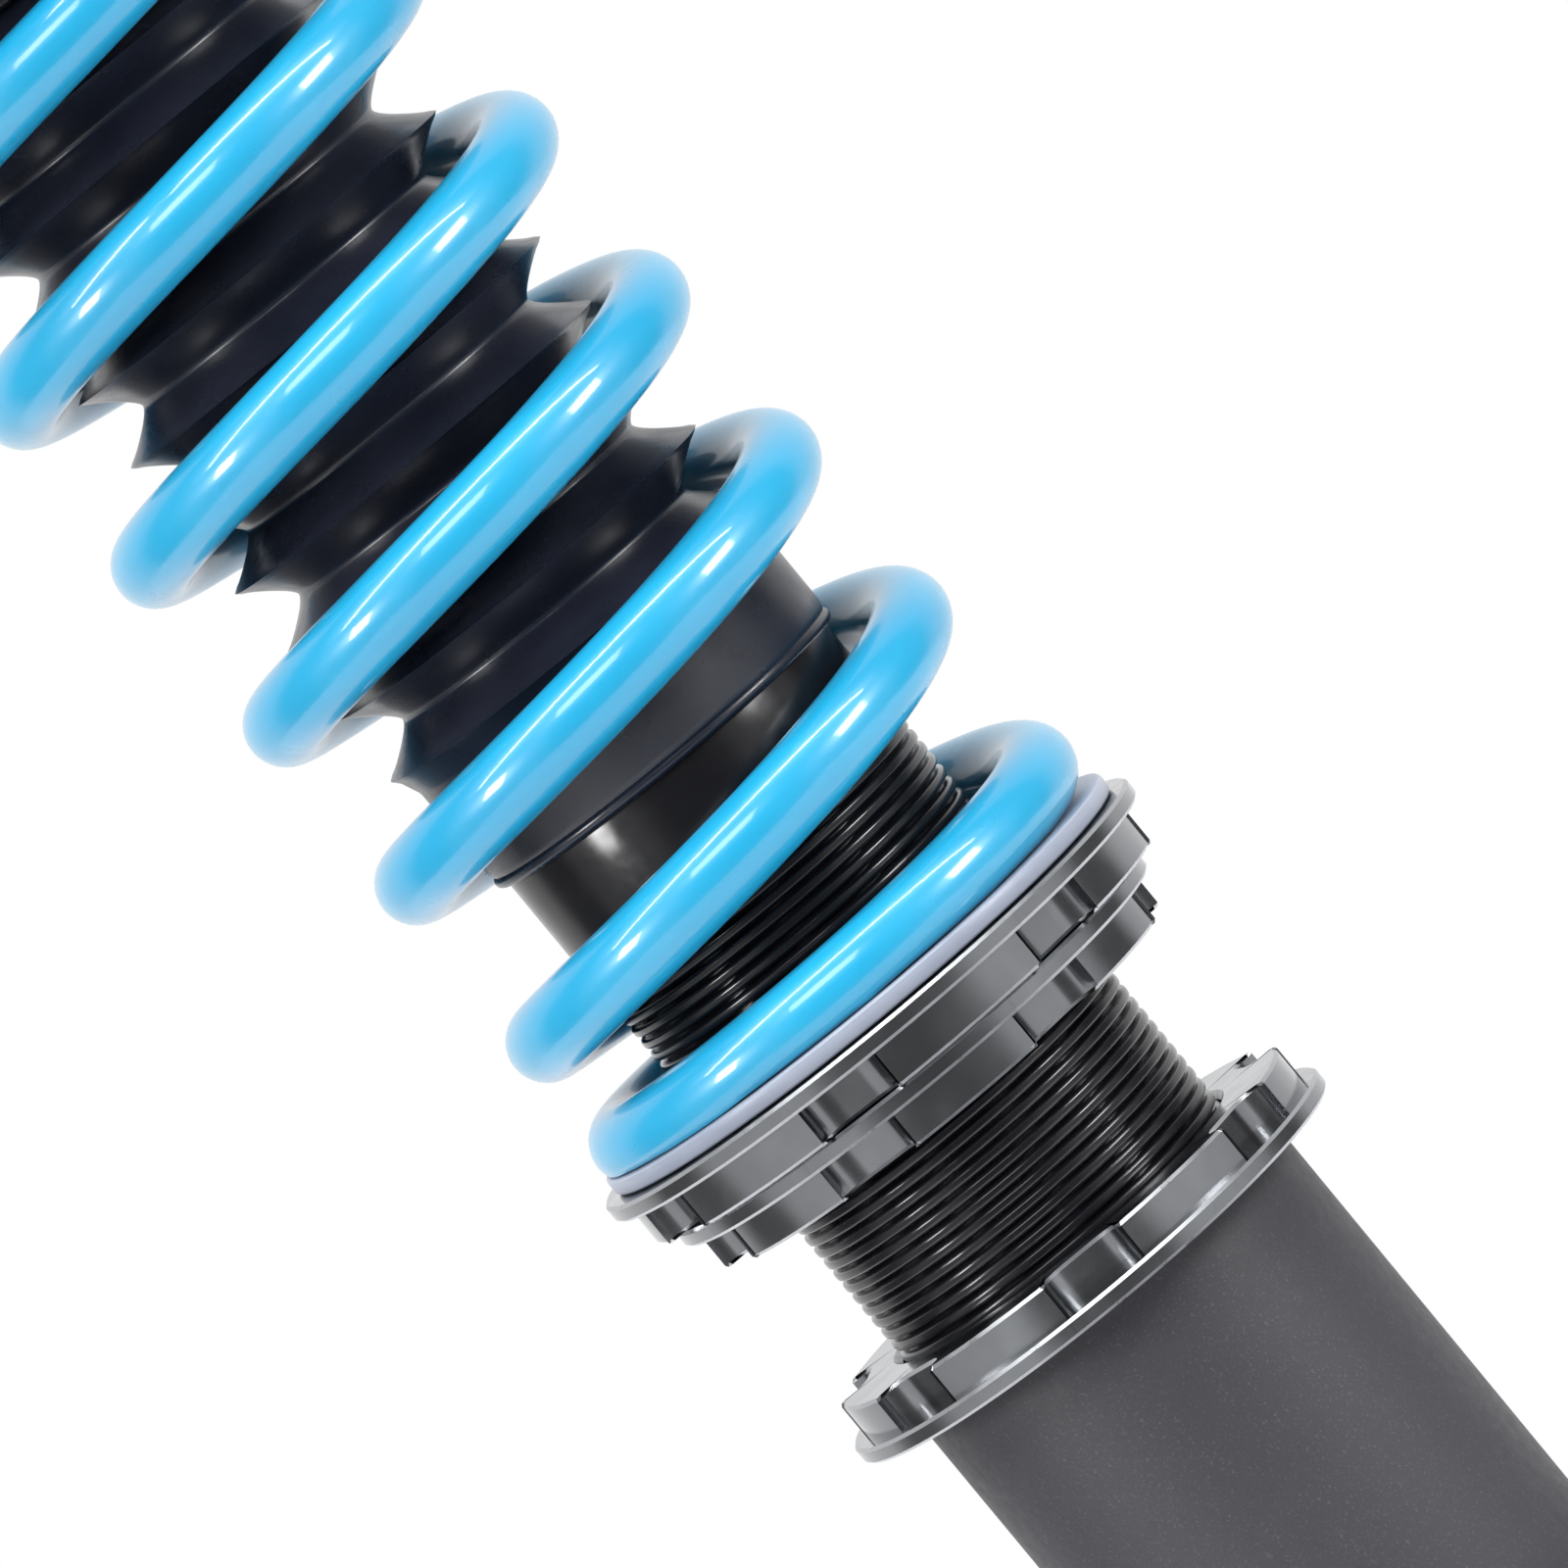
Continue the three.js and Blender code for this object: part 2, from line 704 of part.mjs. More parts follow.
// A cutter for one notch: a flat floor with round inner corners, open outwards.
function notchCutter(outerRadius, bottom, top) {
  const floor = outerRadius - notchDepth;
  const half = notchWidth / 2;
  const corner = notchCornerRadius;
  const shape = new THREE.Shape();
  shape.moveTo(outerRadius + notchDepth, half);
  shape.lineTo(floor + corner, half);
  shape.absarc(floor + corner, half - corner, corner, Math.PI / 2, Math.PI, false);
  shape.absarc(floor + corner, corner - half, corner, Math.PI, 1.5 * Math.PI, false);
  shape.lineTo(outerRadius + notchDepth, -half);
  return slab(shape, bottom, top, arcSteps / 2);
}

// A ring with a thin flange and a notched tier. It is made flange down and can be turned over.
function castellatedRing({ tier, flange, flangeThickness, height, firstNotch, flangeUp }) {
  const body = turned([
    [threadedBore, 0],
    [flange, 0],
    [flange, flangeThickness],
    [tier, flangeThickness],
    [tier, height],
    [threadedBore, height],
  ]);
  let cut = solid(body);
  for (let k = 0; k < notchCount; k++) {
    const cutter = notchCutter(tier, flangeThickness, height + notchDepth);
    const angle = (k * 2 * Math.PI) / notchCount;
    cut = cut.subtract(solid(cutter.rotateZ(angle)));
  }
  const made = geometryOf(cut);
  if (flangeUp) made.rotateX(Math.PI).translate(0, 0, height);
  return made.rotateZ(firstNotch);
}

const towardsFront = -Math.PI / 2; // -Y
const lockRing = {
  tier: ringTierRadius,
  flange: ringTierRadius + ringFlangeLip,
  flangeThickness: ringFlangeThickness,
  height: ringHeight,
};
const lowerRing = castellatedRing({ ...lockRing, firstNotch: towardsFront, flangeUp: false });
const collar = castellatedRing({
  ...lockRing,
  firstNotch: towardsFront - THREE.MathUtils.degToRad(21),
  flangeUp: true,
});
const seat = castellatedRing({
  tier: seatFlangeRadius - seatFlangeLip,
  flange: seatFlangeRadius,
  flangeThickness: seatFlangeThickness,
  height: seatHeight,
  firstNotch: towardsFront - THREE.MathUtils.degToRad(14),
  flangeUp: true,
});

add("spring_seat", seat.translate(0, 0, seatBottom), "#55575c", 0.35, 0.9);
add("seat_lock_collar", collar.translate(0, 0, collarBottom), "#55575c", 0.35, 0.9);
add("lower_lock_ring", lowerRing.translate(0, 0, ringBottom), "#55575c", 0.35, 0.9);

// ---- Boot and bump stop ----------------------------------------------------------------------

// The boot's outer envelope: a cuff on the body, a sleeve, and a neck in the pilot.
function dustBoot() {
  const cuffTop = cuffBottom + cuffLength;
  const cuffBore = threadRadius + fitGap;
  const cuffOuter = cuffBore + cuffWall;
  return innerTurned([
    [cuffBore, cuffBottom],
    [cuffOuter, cuffBottom],
    [cuffOuter, cuffTop],
    [bootCrest, cuffTop + bootShoulder],
    [bootCrest, pilotBottom - bootShoulder],
    [bootNeck, pilotBottom - contactGap],
    [bootNeck, bootTop],
    [bootNeck - bootWall, bootTop],
    [bootNeck - bootWall, pilotBottom - contactGap - bootWall],
    [bootCrest - bootWall, pilotBottom - bootShoulder - bootWall],
    [bootCrest - bootWall, cuffTop + bootShoulder],
    [cuffBore, cuffTop],
  ]);
}

// A foam spring with two waists, pushed into its cup.
function bumpStop() {
  const bore = rodRadius + fitGap;
  const wide = bumpStopRadius;
  const waist = rodRadius + bumpStopWaistShare * (wide - rodRadius);
  const tip = rodRadius + bumpStopTipShare * (wide - rodRadius);
  const bottom = bumpStopTop - bumpStopLength;
  const third = bumpStopLength / 3;
  return innerTurned([
    [bore, bottom],
    [tip, bottom],
    [wide, bottom + third / 2],
    [waist, bottom + third],
    [wide, bottom + third + third / 2],
    [waist, bottom + 2 * third],
    [wide, bottom + 2 * third + third / 2],
    [wide, bumpStopTop],
    [bore, bumpStopTop],
  ]);
}

// A pressed cup that holds the bump stop.
function bumpCup() {
  const inner = bumpStopRadius + fitGap;
  const outer = bumpCupRadius;
  return innerTurned([
    [rodRadius + fitGap, bumpCupTop - bumpCupThickness],
    [inner, bumpCupTop - bumpCupThickness],
    [inner, bumpCupTop - bumpCupDepth],
    [outer, bumpCupTop - bumpCupDepth],
    [outer, bumpCupTop],
    [rodRadius + fitGap, bumpCupTop],
  ]);
}

add("dust_boot", dustBoot(), "#1a1a1c", 0.55, 0);
add("bump_stop", bumpStop(), "#d8c23a", 0.8, 0);
add("bump_stop_cup", bumpCup(), "#3b3c3f", 0.4, 0.9);

// ---- Piston rod, piston and valves -----------------------------------------------------------

// A hollow rod: threaded top, ground shaft, and a thin tail for the piston.
function pistonRod() {
  const shaftTop = upperRaceTop;
  return innerTurned([
    [rodBoreRadius, rodEnd],
    [rodTailRadius, rodEnd],
    [rodTailRadius, rodShoulder],
    [rodRadius, rodShoulder],
    [rodRadius, shaftTop],
    [rodTopRadius, shaftTop],
    [rodTopRadius, rodTopProtrusion - 1],
    [rodTopRadius - 1, rodTopProtrusion],
    [rodBoreRadius, rodTopProtrusion],
  ]);
}

// A piston with a groove for its band.
function piston() {
  const bottom = pistonTop - pistonHeight;
  const middle = (pistonTop + bottom) / 2;
  const groove = innerFit - pistonBandThickness - fitGap;
  const half = pistonBandHeight / 2 + contactGap;
  return innerTurned([
    [rodTailRadius + fitGap, bottom],
    [innerFit, bottom],
    [innerFit, middle - half],
    [groove, middle - half],
    [groove, middle + half],
    [innerFit, middle + half],
    [innerFit, pistonTop],
    [rodTailRadius + fitGap, pistonTop],
  ]);
}

const bandMiddle = pistonTop - pistonHeight / 2;
const stackBore = rodTailRadius + fitGap;
const stackRadius = valveStackDiameter / 2;
const adjusterRadius = rodBoreRadius - fitGap;
const knobBottom = rodTopProtrusion + contactGap;

// The adjuster: a knurled knob outside and a long stem down the hollow rod.
function adjusterStem() {
  return bar(adjusterRadius, rodEnd + adjusterStemInset, knobBottom + knobHeight / 2);
}

function adjusterKnob() {
  const radius = knobDiameter / 2;
  return turned(
    [
      [adjusterRadius + fitGap, knobBottom],
      [radius, knobBottom],
      [radius, knobBottom + knobHeight - knobChamfer],
      [radius - knobChamfer, knobBottom + knobHeight],
      [0, knobBottom + knobHeight],
      [0, knobBottom + knobHeight / 2 + contactGap],
      [adjusterRadius + fitGap, knobBottom + knobHeight / 2 + contactGap],
    ],
    smallSides,
  );
}

add("piston_rod", pistonRod(), "#d5d8dc", 0.08, 1);
add("piston", piston(), "#a3a6aa", 0.35, 0.9);
add(
  "piston_band",
  innerRing(
    innerFit - pistonBandThickness,
    innerFit,
    bandMiddle - pistonBandHeight / 2,
    bandMiddle + pistonBandHeight / 2,
  ),
  "#4a3a2c",
  0.6,
  0,
);
add(
  "compression_valve_stack",
  innerRing(stackBore, stackRadius, compressionStackTop - valveStackHeight, compressionStackTop),
  "#7d8187",
  0.3,
  0.95,
);
add(
  "rebound_valve_stack",
  innerRing(stackBore, stackRadius, reboundStackTop - valveStackHeight, reboundStackTop),
  "#7d8187",
  0.3,
  0.95,
);
add(
  "piston_nut",
  hexNut(pistonNutAcross, pistonNutTop - pistonNutHeight, pistonNutTop, stackBore),
  "#8e8f86",
  0.4,
  0.9,
);
add(
  "rebound_stop",
  innerRing(
    rodRadius + fitGap,
    rodRadius + reboundStopWall,
    reboundStopTop - reboundStopHeight,
    reboundStopTop,
  ),
  "#26262a",
  0.7,
  0,
);
add("adjuster_stem", adjusterStem(), "#b7bac0", 0.3, 0.95);
add("adjuster_knob", adjusterKnob(), "#5a5d63", 0.4, 0.85);

// ---- Damper body and what it holds -----------------------------------------------------------

const bodyOutline = [
  [boreRadius, bodyBottom],
  [threadRadius - bodyChamfer, bodyBottom],
  [threadRadius, bodyBottom + bodyChamfer],
  [threadRadius, bodyTop],
  [boreRadius, bodyTop],
];

// A screwed ring with a flange, which closes the damper.
function glandNut() {
  const rim = threadRadius - glandFlangeStep;
  const bore = rodRadius + fitGap;
  return innerTurned([
    [bore, glandBottom],
    [innerFit, glandBottom],
    [innerFit, bodyTop + contactGap],
    [rim, bodyTop + contactGap],
    [rim, glandTop],
    [bore, glandTop],
  ]);
}

// A free piston between the oil and the gas, grooved for its ring.
function gasPiston() {
  const bottom = gasPistonTop - gasPistonHeight;
  const middle = (gasPistonTop + bottom) / 2;
  const groove = innerFit - gasRingThickness - fitGap;
  const half = gasRingHeight / 2 + contactGap;
  return innerTurned([
    [0, bottom + gasPistonBowlDepth],
    [gasPistonBowlRadius, bottom + gasPistonBowlDepth],
    [gasPistonBowlRadius, bottom],
    [innerFit, bottom],
    [innerFit, middle - half],
    [groove, middle - half],
    [groove, middle + half],
    [innerFit, middle + half],
    [innerFit, gasPistonTop],
    [0, gasPistonTop],
  ]);
}

const gasRingMiddle = gasPistonTop - gasPistonHeight / 2;

add("threaded_body", turned(bodyOutline), "#0c0c0e", 0.15, 0.3);
add(
  "body_base_cap",
  bar(innerFit, bodyBottom, bodyBottom + baseCapThickness, 0, 0, innerSides),
  "#3b3c3f",
  0.4,
  0.9,
);
add("gland_nut", glandNut(), "#2d2e31", 0.4, 0.85);
add(
  "rod_seal",
  innerRing(rodRadius + fitGap, innerFit, sealTop - sealHeight, sealTop),
  "#202022",
  0.7,
  0,
);
add(
  "rod_guide",
  innerRing(rodRadius + fitGap, innerFit, guideBottom, guideTop),
  "#9b8a5a",
  0.4,
  0.9,
);
add("gas_piston", gasPiston(), "#a3a6aa", 0.35, 0.9);
add(
  "gas_piston_ring",
  innerRing(
    innerFit - gasRingThickness,
    innerFit,
    gasRingMiddle - gasRingHeight / 2,
    gasRingMiddle + gasRingHeight / 2,
  ),
  "#1c1c1e",
  0.7,
  0,
);

// ---- Foot: tube, plug, knuckle bracket and tabs ----------------------------------------------

// The bracket's plan: it wraps round the back of the tube, then its ears close in and run
// parallel, ready for the knuckle.
function bracketPlan() {
  const reach = boltReach + earEndRadius + overcut;
  const outerKnee = (wrapOuter - earOuter * Math.sin(wrapAngle)) / Math.cos(wrapAngle);
  const shape = new THREE.Shape();
  shape.moveTo(reach, earOuter);
  shape.lineTo(outerKnee, earOuter);
  shape.absarc(0, 0, wrapOuter, wrapAngle, 2 * Math.PI - wrapAngle, false);
  shape.lineTo(outerKnee, -earOuter);
  shape.lineTo(reach, -earOuter);
  shape.lineTo(reach, -earInner);
  shape.lineTo(kneeReach, -earInner);
  shape.absarc(0, 0, wrapInner, -wrapAngle, wrapAngle - 2 * Math.PI, true);
  shape.lineTo(kneeReach, earInner);
  shape.lineTo(reach, earInner);
  return shape;
}

// The bracket's side view, in X and Z: round ends about the bolt holes, sloping back edges.
function bracketSide() {
  const half = boltSpacing / 2;
  const halfHeight = bracketHeight / 2;
  const back = -wrapOuter - overcut;
  const shape = new THREE.Shape();
  shape.moveTo(back, halfHeight - wrapSlope);
  shape.lineTo(back, wrapSlope - halfHeight);
  shape.lineTo(0, -halfHeight);
  shape.absarc(boltReach, -half, earEndRadius, -Math.PI / 2, 0, false);
  shape.absarc(boltReach, half, earEndRadius, 0, Math.PI / 2, false);
  shape.lineTo(0, halfHeight);
  for (const z of [-half, half]) {
    const hole = new THREE.Path();
    hole.absarc(boltReach, z, boltHoleDiameter / 2, 0, 2 * Math.PI, true);
    shape.holes.push(hole);
  }
  return shape;
}

function knuckleBracket() {
  const half = wrapOuter + overcut;
  const plan = solid(slab(bracketPlan(), bracketBottom - overcut, bracketTop + overcut, wrapSteps));
  const side = slab(bracketSide(), -half, half).rotateX(Math.PI / 2);
  side.translate(0, 0, bracketMiddle);
  return geometryOf(plan.intersect(solid(side)));
}

// A flat tab that stands out from the wrap along Y, with a round end and a hole.
function tab(thickness, reach, endRadius, holeDiameter) {
  const start = wrapOuter + fitGap;
  const shape = new THREE.Shape();
  shape.moveTo(start, -endRadius * tabRootSpread);
  shape.lineTo(start + reach, -endRadius);
  shape.absarc(start + reach, 0, endRadius, -Math.PI / 2, Math.PI / 2, false);
  shape.lineTo(start, endRadius * tabRootSpread);
  const hole = new THREE.Path();
  hole.absarc(start + reach, 0, holeDiameter / 2, 0, 2 * Math.PI, true);
  shape.holes.push(hole);
  return slab(shape, -thickness / 2, thickness / 2)
    .rotateX(Math.PI / 2)
    .rotateZ(Math.PI / 2);
}

const swayTab = tab(swayTabThickness, swayTabReach, swayTabEndRadius, swayHoleDiameter);
const hoseTab = tab(hoseTabThickness, hoseTabReach, hoseTabEndRadius, hoseHoleDiameter);
const webBack = tubeRadius + webGap;
const webHeight = bracketHeight - 2 * webMargin;
const web = new THREE.BoxGeometry(webThickness, knuckleGap - 2 * fitGap, webHeight);
const footColour = "#232427";

add("knuckle_tube", ring(threadedBore, tubeRadius, tubeBottom, tubeTop), footColour, 0.7, 0.2);
add(
  "tube_end_plug",
  bar(threadRadius, tubeBottom, tubeBottom + tubePlugThickness, 0, 0, roundSides),
  footColour,
  0.7,
  0.2,
);
add("knuckle_bracket", knuckleBracket(), footColour, 0.7, 0.2);
add("bracket_web", web.translate(webBack + webThickness / 2, 0, bracketMiddle), footColour, 0.7, 0.2);
add("sway_link_tab", swayTab.translate(0, 0, tubeTop - swayTabDrop), footColour, 0.7, 0.2);
add(
  "brake_hose_tab",
  hoseTab.rotateZ(Math.PI).translate(0, 0, tubeTop - hoseTabDrop),
  footColour,
  0.7,
  0.2,
);

export default part;
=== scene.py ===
# %% [markdown]
# # A coilover strut, piece by piece
#
# The mechanical model arrives as a fixed frame: every body, joint and size is already settled.
# This lesson gives each piece its real surface and finish. New surfaces are worked out with
# numpy, as grids of points, and laid exactly where the frame says.

import json

import bmesh
import bpy
import numpy as np
from mathutils import Matrix, Vector
from mathutils.geometry import tessellate_polygon

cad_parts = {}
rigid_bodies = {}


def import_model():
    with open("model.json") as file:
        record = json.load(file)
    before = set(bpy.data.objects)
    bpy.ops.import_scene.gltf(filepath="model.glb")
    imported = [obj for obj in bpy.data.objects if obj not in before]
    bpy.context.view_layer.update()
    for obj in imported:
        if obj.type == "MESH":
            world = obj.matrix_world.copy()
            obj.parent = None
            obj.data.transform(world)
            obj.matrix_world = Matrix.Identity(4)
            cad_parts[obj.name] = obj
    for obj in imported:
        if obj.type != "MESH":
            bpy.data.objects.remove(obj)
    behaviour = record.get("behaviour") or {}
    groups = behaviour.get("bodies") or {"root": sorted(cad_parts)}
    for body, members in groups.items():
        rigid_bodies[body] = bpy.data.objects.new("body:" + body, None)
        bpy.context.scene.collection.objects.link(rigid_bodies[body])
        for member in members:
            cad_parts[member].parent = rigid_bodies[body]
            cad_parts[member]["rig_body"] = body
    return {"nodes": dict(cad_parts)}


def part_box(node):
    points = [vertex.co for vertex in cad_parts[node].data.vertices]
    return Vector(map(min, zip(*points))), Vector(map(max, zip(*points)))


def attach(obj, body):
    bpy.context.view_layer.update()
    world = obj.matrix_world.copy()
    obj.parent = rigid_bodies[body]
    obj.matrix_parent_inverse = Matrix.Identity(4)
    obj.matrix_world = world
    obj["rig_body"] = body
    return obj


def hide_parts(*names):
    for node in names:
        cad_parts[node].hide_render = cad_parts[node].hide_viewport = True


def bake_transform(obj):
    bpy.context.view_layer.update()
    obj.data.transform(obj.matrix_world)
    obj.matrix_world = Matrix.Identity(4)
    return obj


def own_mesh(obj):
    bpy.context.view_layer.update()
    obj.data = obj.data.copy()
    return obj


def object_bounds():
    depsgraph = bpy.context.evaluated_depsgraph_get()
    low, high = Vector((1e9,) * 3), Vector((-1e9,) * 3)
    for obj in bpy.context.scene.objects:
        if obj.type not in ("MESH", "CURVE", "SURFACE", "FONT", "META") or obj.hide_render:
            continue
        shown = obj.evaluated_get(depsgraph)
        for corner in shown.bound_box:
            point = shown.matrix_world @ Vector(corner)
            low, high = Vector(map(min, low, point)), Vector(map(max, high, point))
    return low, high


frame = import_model()
cad_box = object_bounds()
MM = 0.001
FULL_TURN = 2 * np.pi
POLE = 1e-9  # a radius of next to nothing, where a turned piece closes on its axis


# %% [markdown]
# ## Reading the frame
#
# Every place comes from a node's own box. A turned piece needs only its lowest and highest
# height and its largest radius, so one small helper reads those three.

# %% Heights and radii
def low(node):
    """The lowest height of a node."""
    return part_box(node)[0].z


def high(node):
    """The highest height of a node."""
    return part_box(node)[1].z


def reach(node):
    """The largest distance of a node from the strut's axis, along X."""
    return max(abs(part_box(node)[0].x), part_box(node)[1].x)


TUBE_TOP = low("lower_lock_ring")
COLLAR_TOP = high("seat_lock_collar")
print("the rings stand", round((COLLAR_TOP - TUBE_TOP) / MM, 1), "mm from the tube's top")

# %% [markdown]
# ## The camera
#
# A long lens from 1.6 m keeps the rings' ellipses nearly flat. The strut lies diagonally in
# the picture, so the camera is rolled about its own line of sight. The picture shows about
# 207 mm of the strut, its middle: rings, seat and spring.

# %% Camera
CAMERA_DISTANCE = 1.6
CAMERA_ELEVATION = np.radians(4.8)
CAMERA_ROLL = np.radians(-39.56)
PICTURE_WIDTH = 0.2067
AIM = Vector((0.0093, 0, TUBE_TOP + 0.0763))

camera = bpy.data.objects.new("camera", bpy.data.cameras.new("camera"))
bpy.context.scene.collection.objects.link(camera)
bpy.context.scene.camera = camera
camera.data.sensor_width = 36
camera.data.lens = camera.data.sensor_width * CAMERA_DISTANCE / PICTURE_WIDTH
camera.data.clip_start = 0.05
camera.data.clip_end = 50
outwards = Vector((0, -np.cos(CAMERA_ELEVATION), np.sin(CAMERA_ELEVATION)))
upright = (-outwards).to_track_quat("-Z", "Y").to_matrix().to_4x4()
camera.matrix_world = (
    Matrix.Translation(AIM + outwards * CAMERA_DISTANCE) @ upright @ Matrix.Rotation(CAMERA_ROLL, 4, "Z")
)
print("camera lens", round(camera.data.lens), "mm")

# %% [markdown]
# ## Surfaces from grids
#
# Almost every piece here is a grid of points: rows run along a profile and columns run round
# the axis. One function turns a grid into a mesh. It joins the last row to the first, or the
# last column to the first, where the surface closes on itself, and it measures the signed
# volume to be sure that the faces look outwards.


# %% Meshes
EDGE_STEPS = 3


def grid_quads(rows, columns, close_rows, close_columns):
    """Corner numbers of every quad between neighbouring rows and columns, as one array."""
    r = np.arange(rows if close_rows else rows - 1)
    c = np.arange(columns if close_columns else columns - 1)
    r0, c0 = np.meshgrid(r, c, indexing="ij")
    r1 = (r0 + 1) % rows
    c1 = (c0 + 1) % columns
    corners = [r0 * columns + c0, r0 * columns + c1, r1 * columns + c1, r1 * columns + c0]
    return np.stack(corners, -1).reshape(-1, 4)


def signed_volume(points, faces):
    """Six times the volume under each face's fan of triangles, summed: positive if it faces out."""
    a = points[faces[:, 0]]
    total = 0.0
    for k in range(1, faces.shape[1] - 1):
        b = points[faces[:, k]]
        c = points[faces[:, k + 1]]
        total += np.einsum("ij,ij->", a, np.cross(b, c))
    return total


def new_piece(name, points, face_groups, sharp_degrees=32):
    """A mesh object from points and groups of equal-sided faces, smooth but for its sharp edges."""
    volume = sum(signed_volume(points, faces) for faces in face_groups)
    if volume < 0:
        face_groups = [faces[:, ::-1] for faces in face_groups]
    sides = np.concatenate([np.full(len(f), f.shape[1]) for f in face_groups])
    corners = np.concatenate([f.ravel() for f in face_groups])
    starts = np.concatenate([[0], np.cumsum(sides)[:-1]])
    mesh = bpy.data.meshes.new(name)
    mesh.vertices.add(len(points))
    mesh.vertices.foreach_set("co", np.asarray(points, np.float32).ravel())
    mesh.loops.add(len(corners))
    mesh.loops.foreach_set("vertex_index", corners.astype(np.int32))
    mesh.polygons.add(len(sides))
    mesh.polygons.foreach_set("loop_start", starts.astype(np.int32))
    mesh.update(calc_edges=True)
    mesh.validate()
    mesh.shade_smooth()
    mesh.set_sharp_from_angle(angle=np.radians(sharp_degrees))
    piece = bpy.data.objects.new(name, mesh)
    bpy.context.scene.collection.objects.link(piece)
    return piece


def softened(outline, radius):
    """A closed outline with each corner P replaced by the curve (1-s)²A + 2s(1-s)P + s²B,
    where A and B lie on the two edges at the given distance, or at 0.45 of a short edge."""
    corner = np.asarray(outline, float)
    before = np.roll(corner, 1, 0) - corner
    after = np.roll(corner, -1, 0) - corner
    length_before = np.linalg.norm(before, axis=1, keepdims=True)
    length_after = np.linalg.norm(after, axis=1, keepdims=True)
    wanted = np.broadcast_to(np.asarray(radius, float), (len(corner),))[:, None]
    cut = np.minimum(wanted, 0.45 * np.minimum(length_before, length_after))
    start = corner + before / length_before * cut
    end = corner + after / length_after * cut
    s = np.linspace(0, 1, EDGE_STEPS + 1)[None, :, None]
    curve = (1 - s) ** 2 * start[:, None] + 2 * s * (1 - s) * corner[:, None] + s**2 * end[:, None]
    return curve.reshape(-1, 2)


# %% Turned pieces
def turned_grid(profile, columns):
    """Points (r cos a, r sin a, h) for each profile point (r, h) and each angle a."""
    angle = np.arange(columns) * FULL_TURN / columns
    r, h = np.asarray(profile, float).T
    x = r[:, None] * np.cos(angle)
    y = r[:, None] * np.sin(angle)
    z = np.broadcast_to(h[:, None], x.shape)
    return np.stack([x, y, z], -1)


def lathe(name, profile, edge=0.3 * MM, columns=128):
    """Turns a closed (radius, height) profile about Z, its corners softened, and merges a pole."""
    profile = np.asarray(profile, float)
    soft = softened(profile, np.where(profile[:, 0] < 1e-6, 0, edge))
    points = turned_grid(soft, columns).reshape(-1, 3)
    quads = grid_quads(len(soft), columns, True, True)
    piece = new_piece(name, points, [quads])
    if profile[:, 0].min() < 1e-6:
        close_poles(piece)
    return piece


def close_poles(piece):
    """Merges the points that a profile on the axis leaves on one spot."""
    work = bmesh.new()
    work.from_mesh(piece.data)
    bmesh.ops.remove_doubles(work, verts=work.verts, dist=1e-7)
    bmesh.ops.dissolve_degenerate(work, dist=1e-8, edges=work.edges)
    bmesh.ops.recalc_face_normals(work, faces=work.faces)
    work.to_mesh(piece.data)
    work.free()
    piece.data.shade_smooth()
    piece.data.set_sharp_from_angle(angle=np.radians(32))


print("helpers ready: grids, lathe")

# %% [markdown]
# ## Plates with holes
#
# Nuts, tabs and the top plate are flat outlines with a thickness. Each outline becomes four
# loops, so that both rims get a small chamfer, and the flat faces between the loops are
# triangulated with their holes.


# %% Plates
def outline_normals(outline):
    """The direction across the outline at each point: the tangent turned a quarter turn."""
    tangent = np.roll(outline, -1, 0) - np.roll(outline, 1, 0)
    normal = np.stack([tangent[:, 1], -tangent[:, 0]], -1)
    return normal / np.linalg.norm(normal, axis=1, keepdims=True)


def cap_triangles(loops, offset):
    """Triangles that fill the first loop and leave the others open, as corner numbers."""
    flat = [[Vector((x, y, 0)) for x, y in loop] for loop in loops]
    triangles = np.array(tessellate_polygon(flat), int)
    points = np.concatenate(loops)
    a, b, c = (points[triangles[:, k]] for k in range(3))
    area = (b[:, 0] - a[:, 0]) * (c[:, 1] - a[:, 1]) - (b[:, 1] - a[:, 1]) * (c[:, 0] - a[:, 0])
    triangles[area < 0] = triangles[area < 0][:, ::-1]
    return triangles[np.abs(area) > 1e-14] + offset


def plate(name, outer, holes, bottom, top, edge=0.4 * MM, turn=None):
    """A flat piece between two heights. The outer outline runs anticlockwise and each hole
    clockwise, so one rule insets them all: a point moves back along its normal by the edge."""
    loops = [np.asarray(loop, float) for loop in [outer, *holes]]
    inset = [loop - outline_normals(loop) * edge for loop in loops]
    full_points = np.concatenate(loops)
    inset_points = np.concatenate(inset)
    count = len(full_points)
    levels = [(inset_points, bottom), (full_points, bottom + edge)]
    levels += [(full_points, top - edge), (inset_points, top)]
    points = np.concatenate([np.column_stack([xy, np.full(count, z)]) for xy, z in levels])
    walls = []
    first = 0
    for loop in loops:
        here = first + np.arange(len(loop))
        there = first + (np.arange(len(loop)) + 1) % len(loop)
        for level in range(3):
            lower, upper = level * count, (level + 1) * count
            walls.append(np.stack([here + lower, there + lower, there + upper, here + upper], -1))
        first += len(loop)
    ceiling = cap_triangles(inset, 3 * count)
    floor = cap_triangles(inset, 0)[:, ::-1]
    if turn is not None:
        points = points @ np.array(turn.to_3x3()).T + np.array(turn.translation)
    return new_piece(name, points, [np.concatenate(walls), ceiling, floor])


# %% Outlines and holes
def arc(centre, radius, start_degrees, end_degrees, steps=12):
    """Points of an arc from one angle to another."""
    angle = np.radians(np.linspace(start_degrees, end_degrees, steps))
    return np.column_stack([centre[0] + radius * np.cos(angle), centre[1] + radius * np.sin(angle)])


def round_hole(centre, radius, steps=48):
    """A circle that runs clockwise, for a hole."""
    return arc(centre, radius, 360, 0, steps + 1)[:-1]


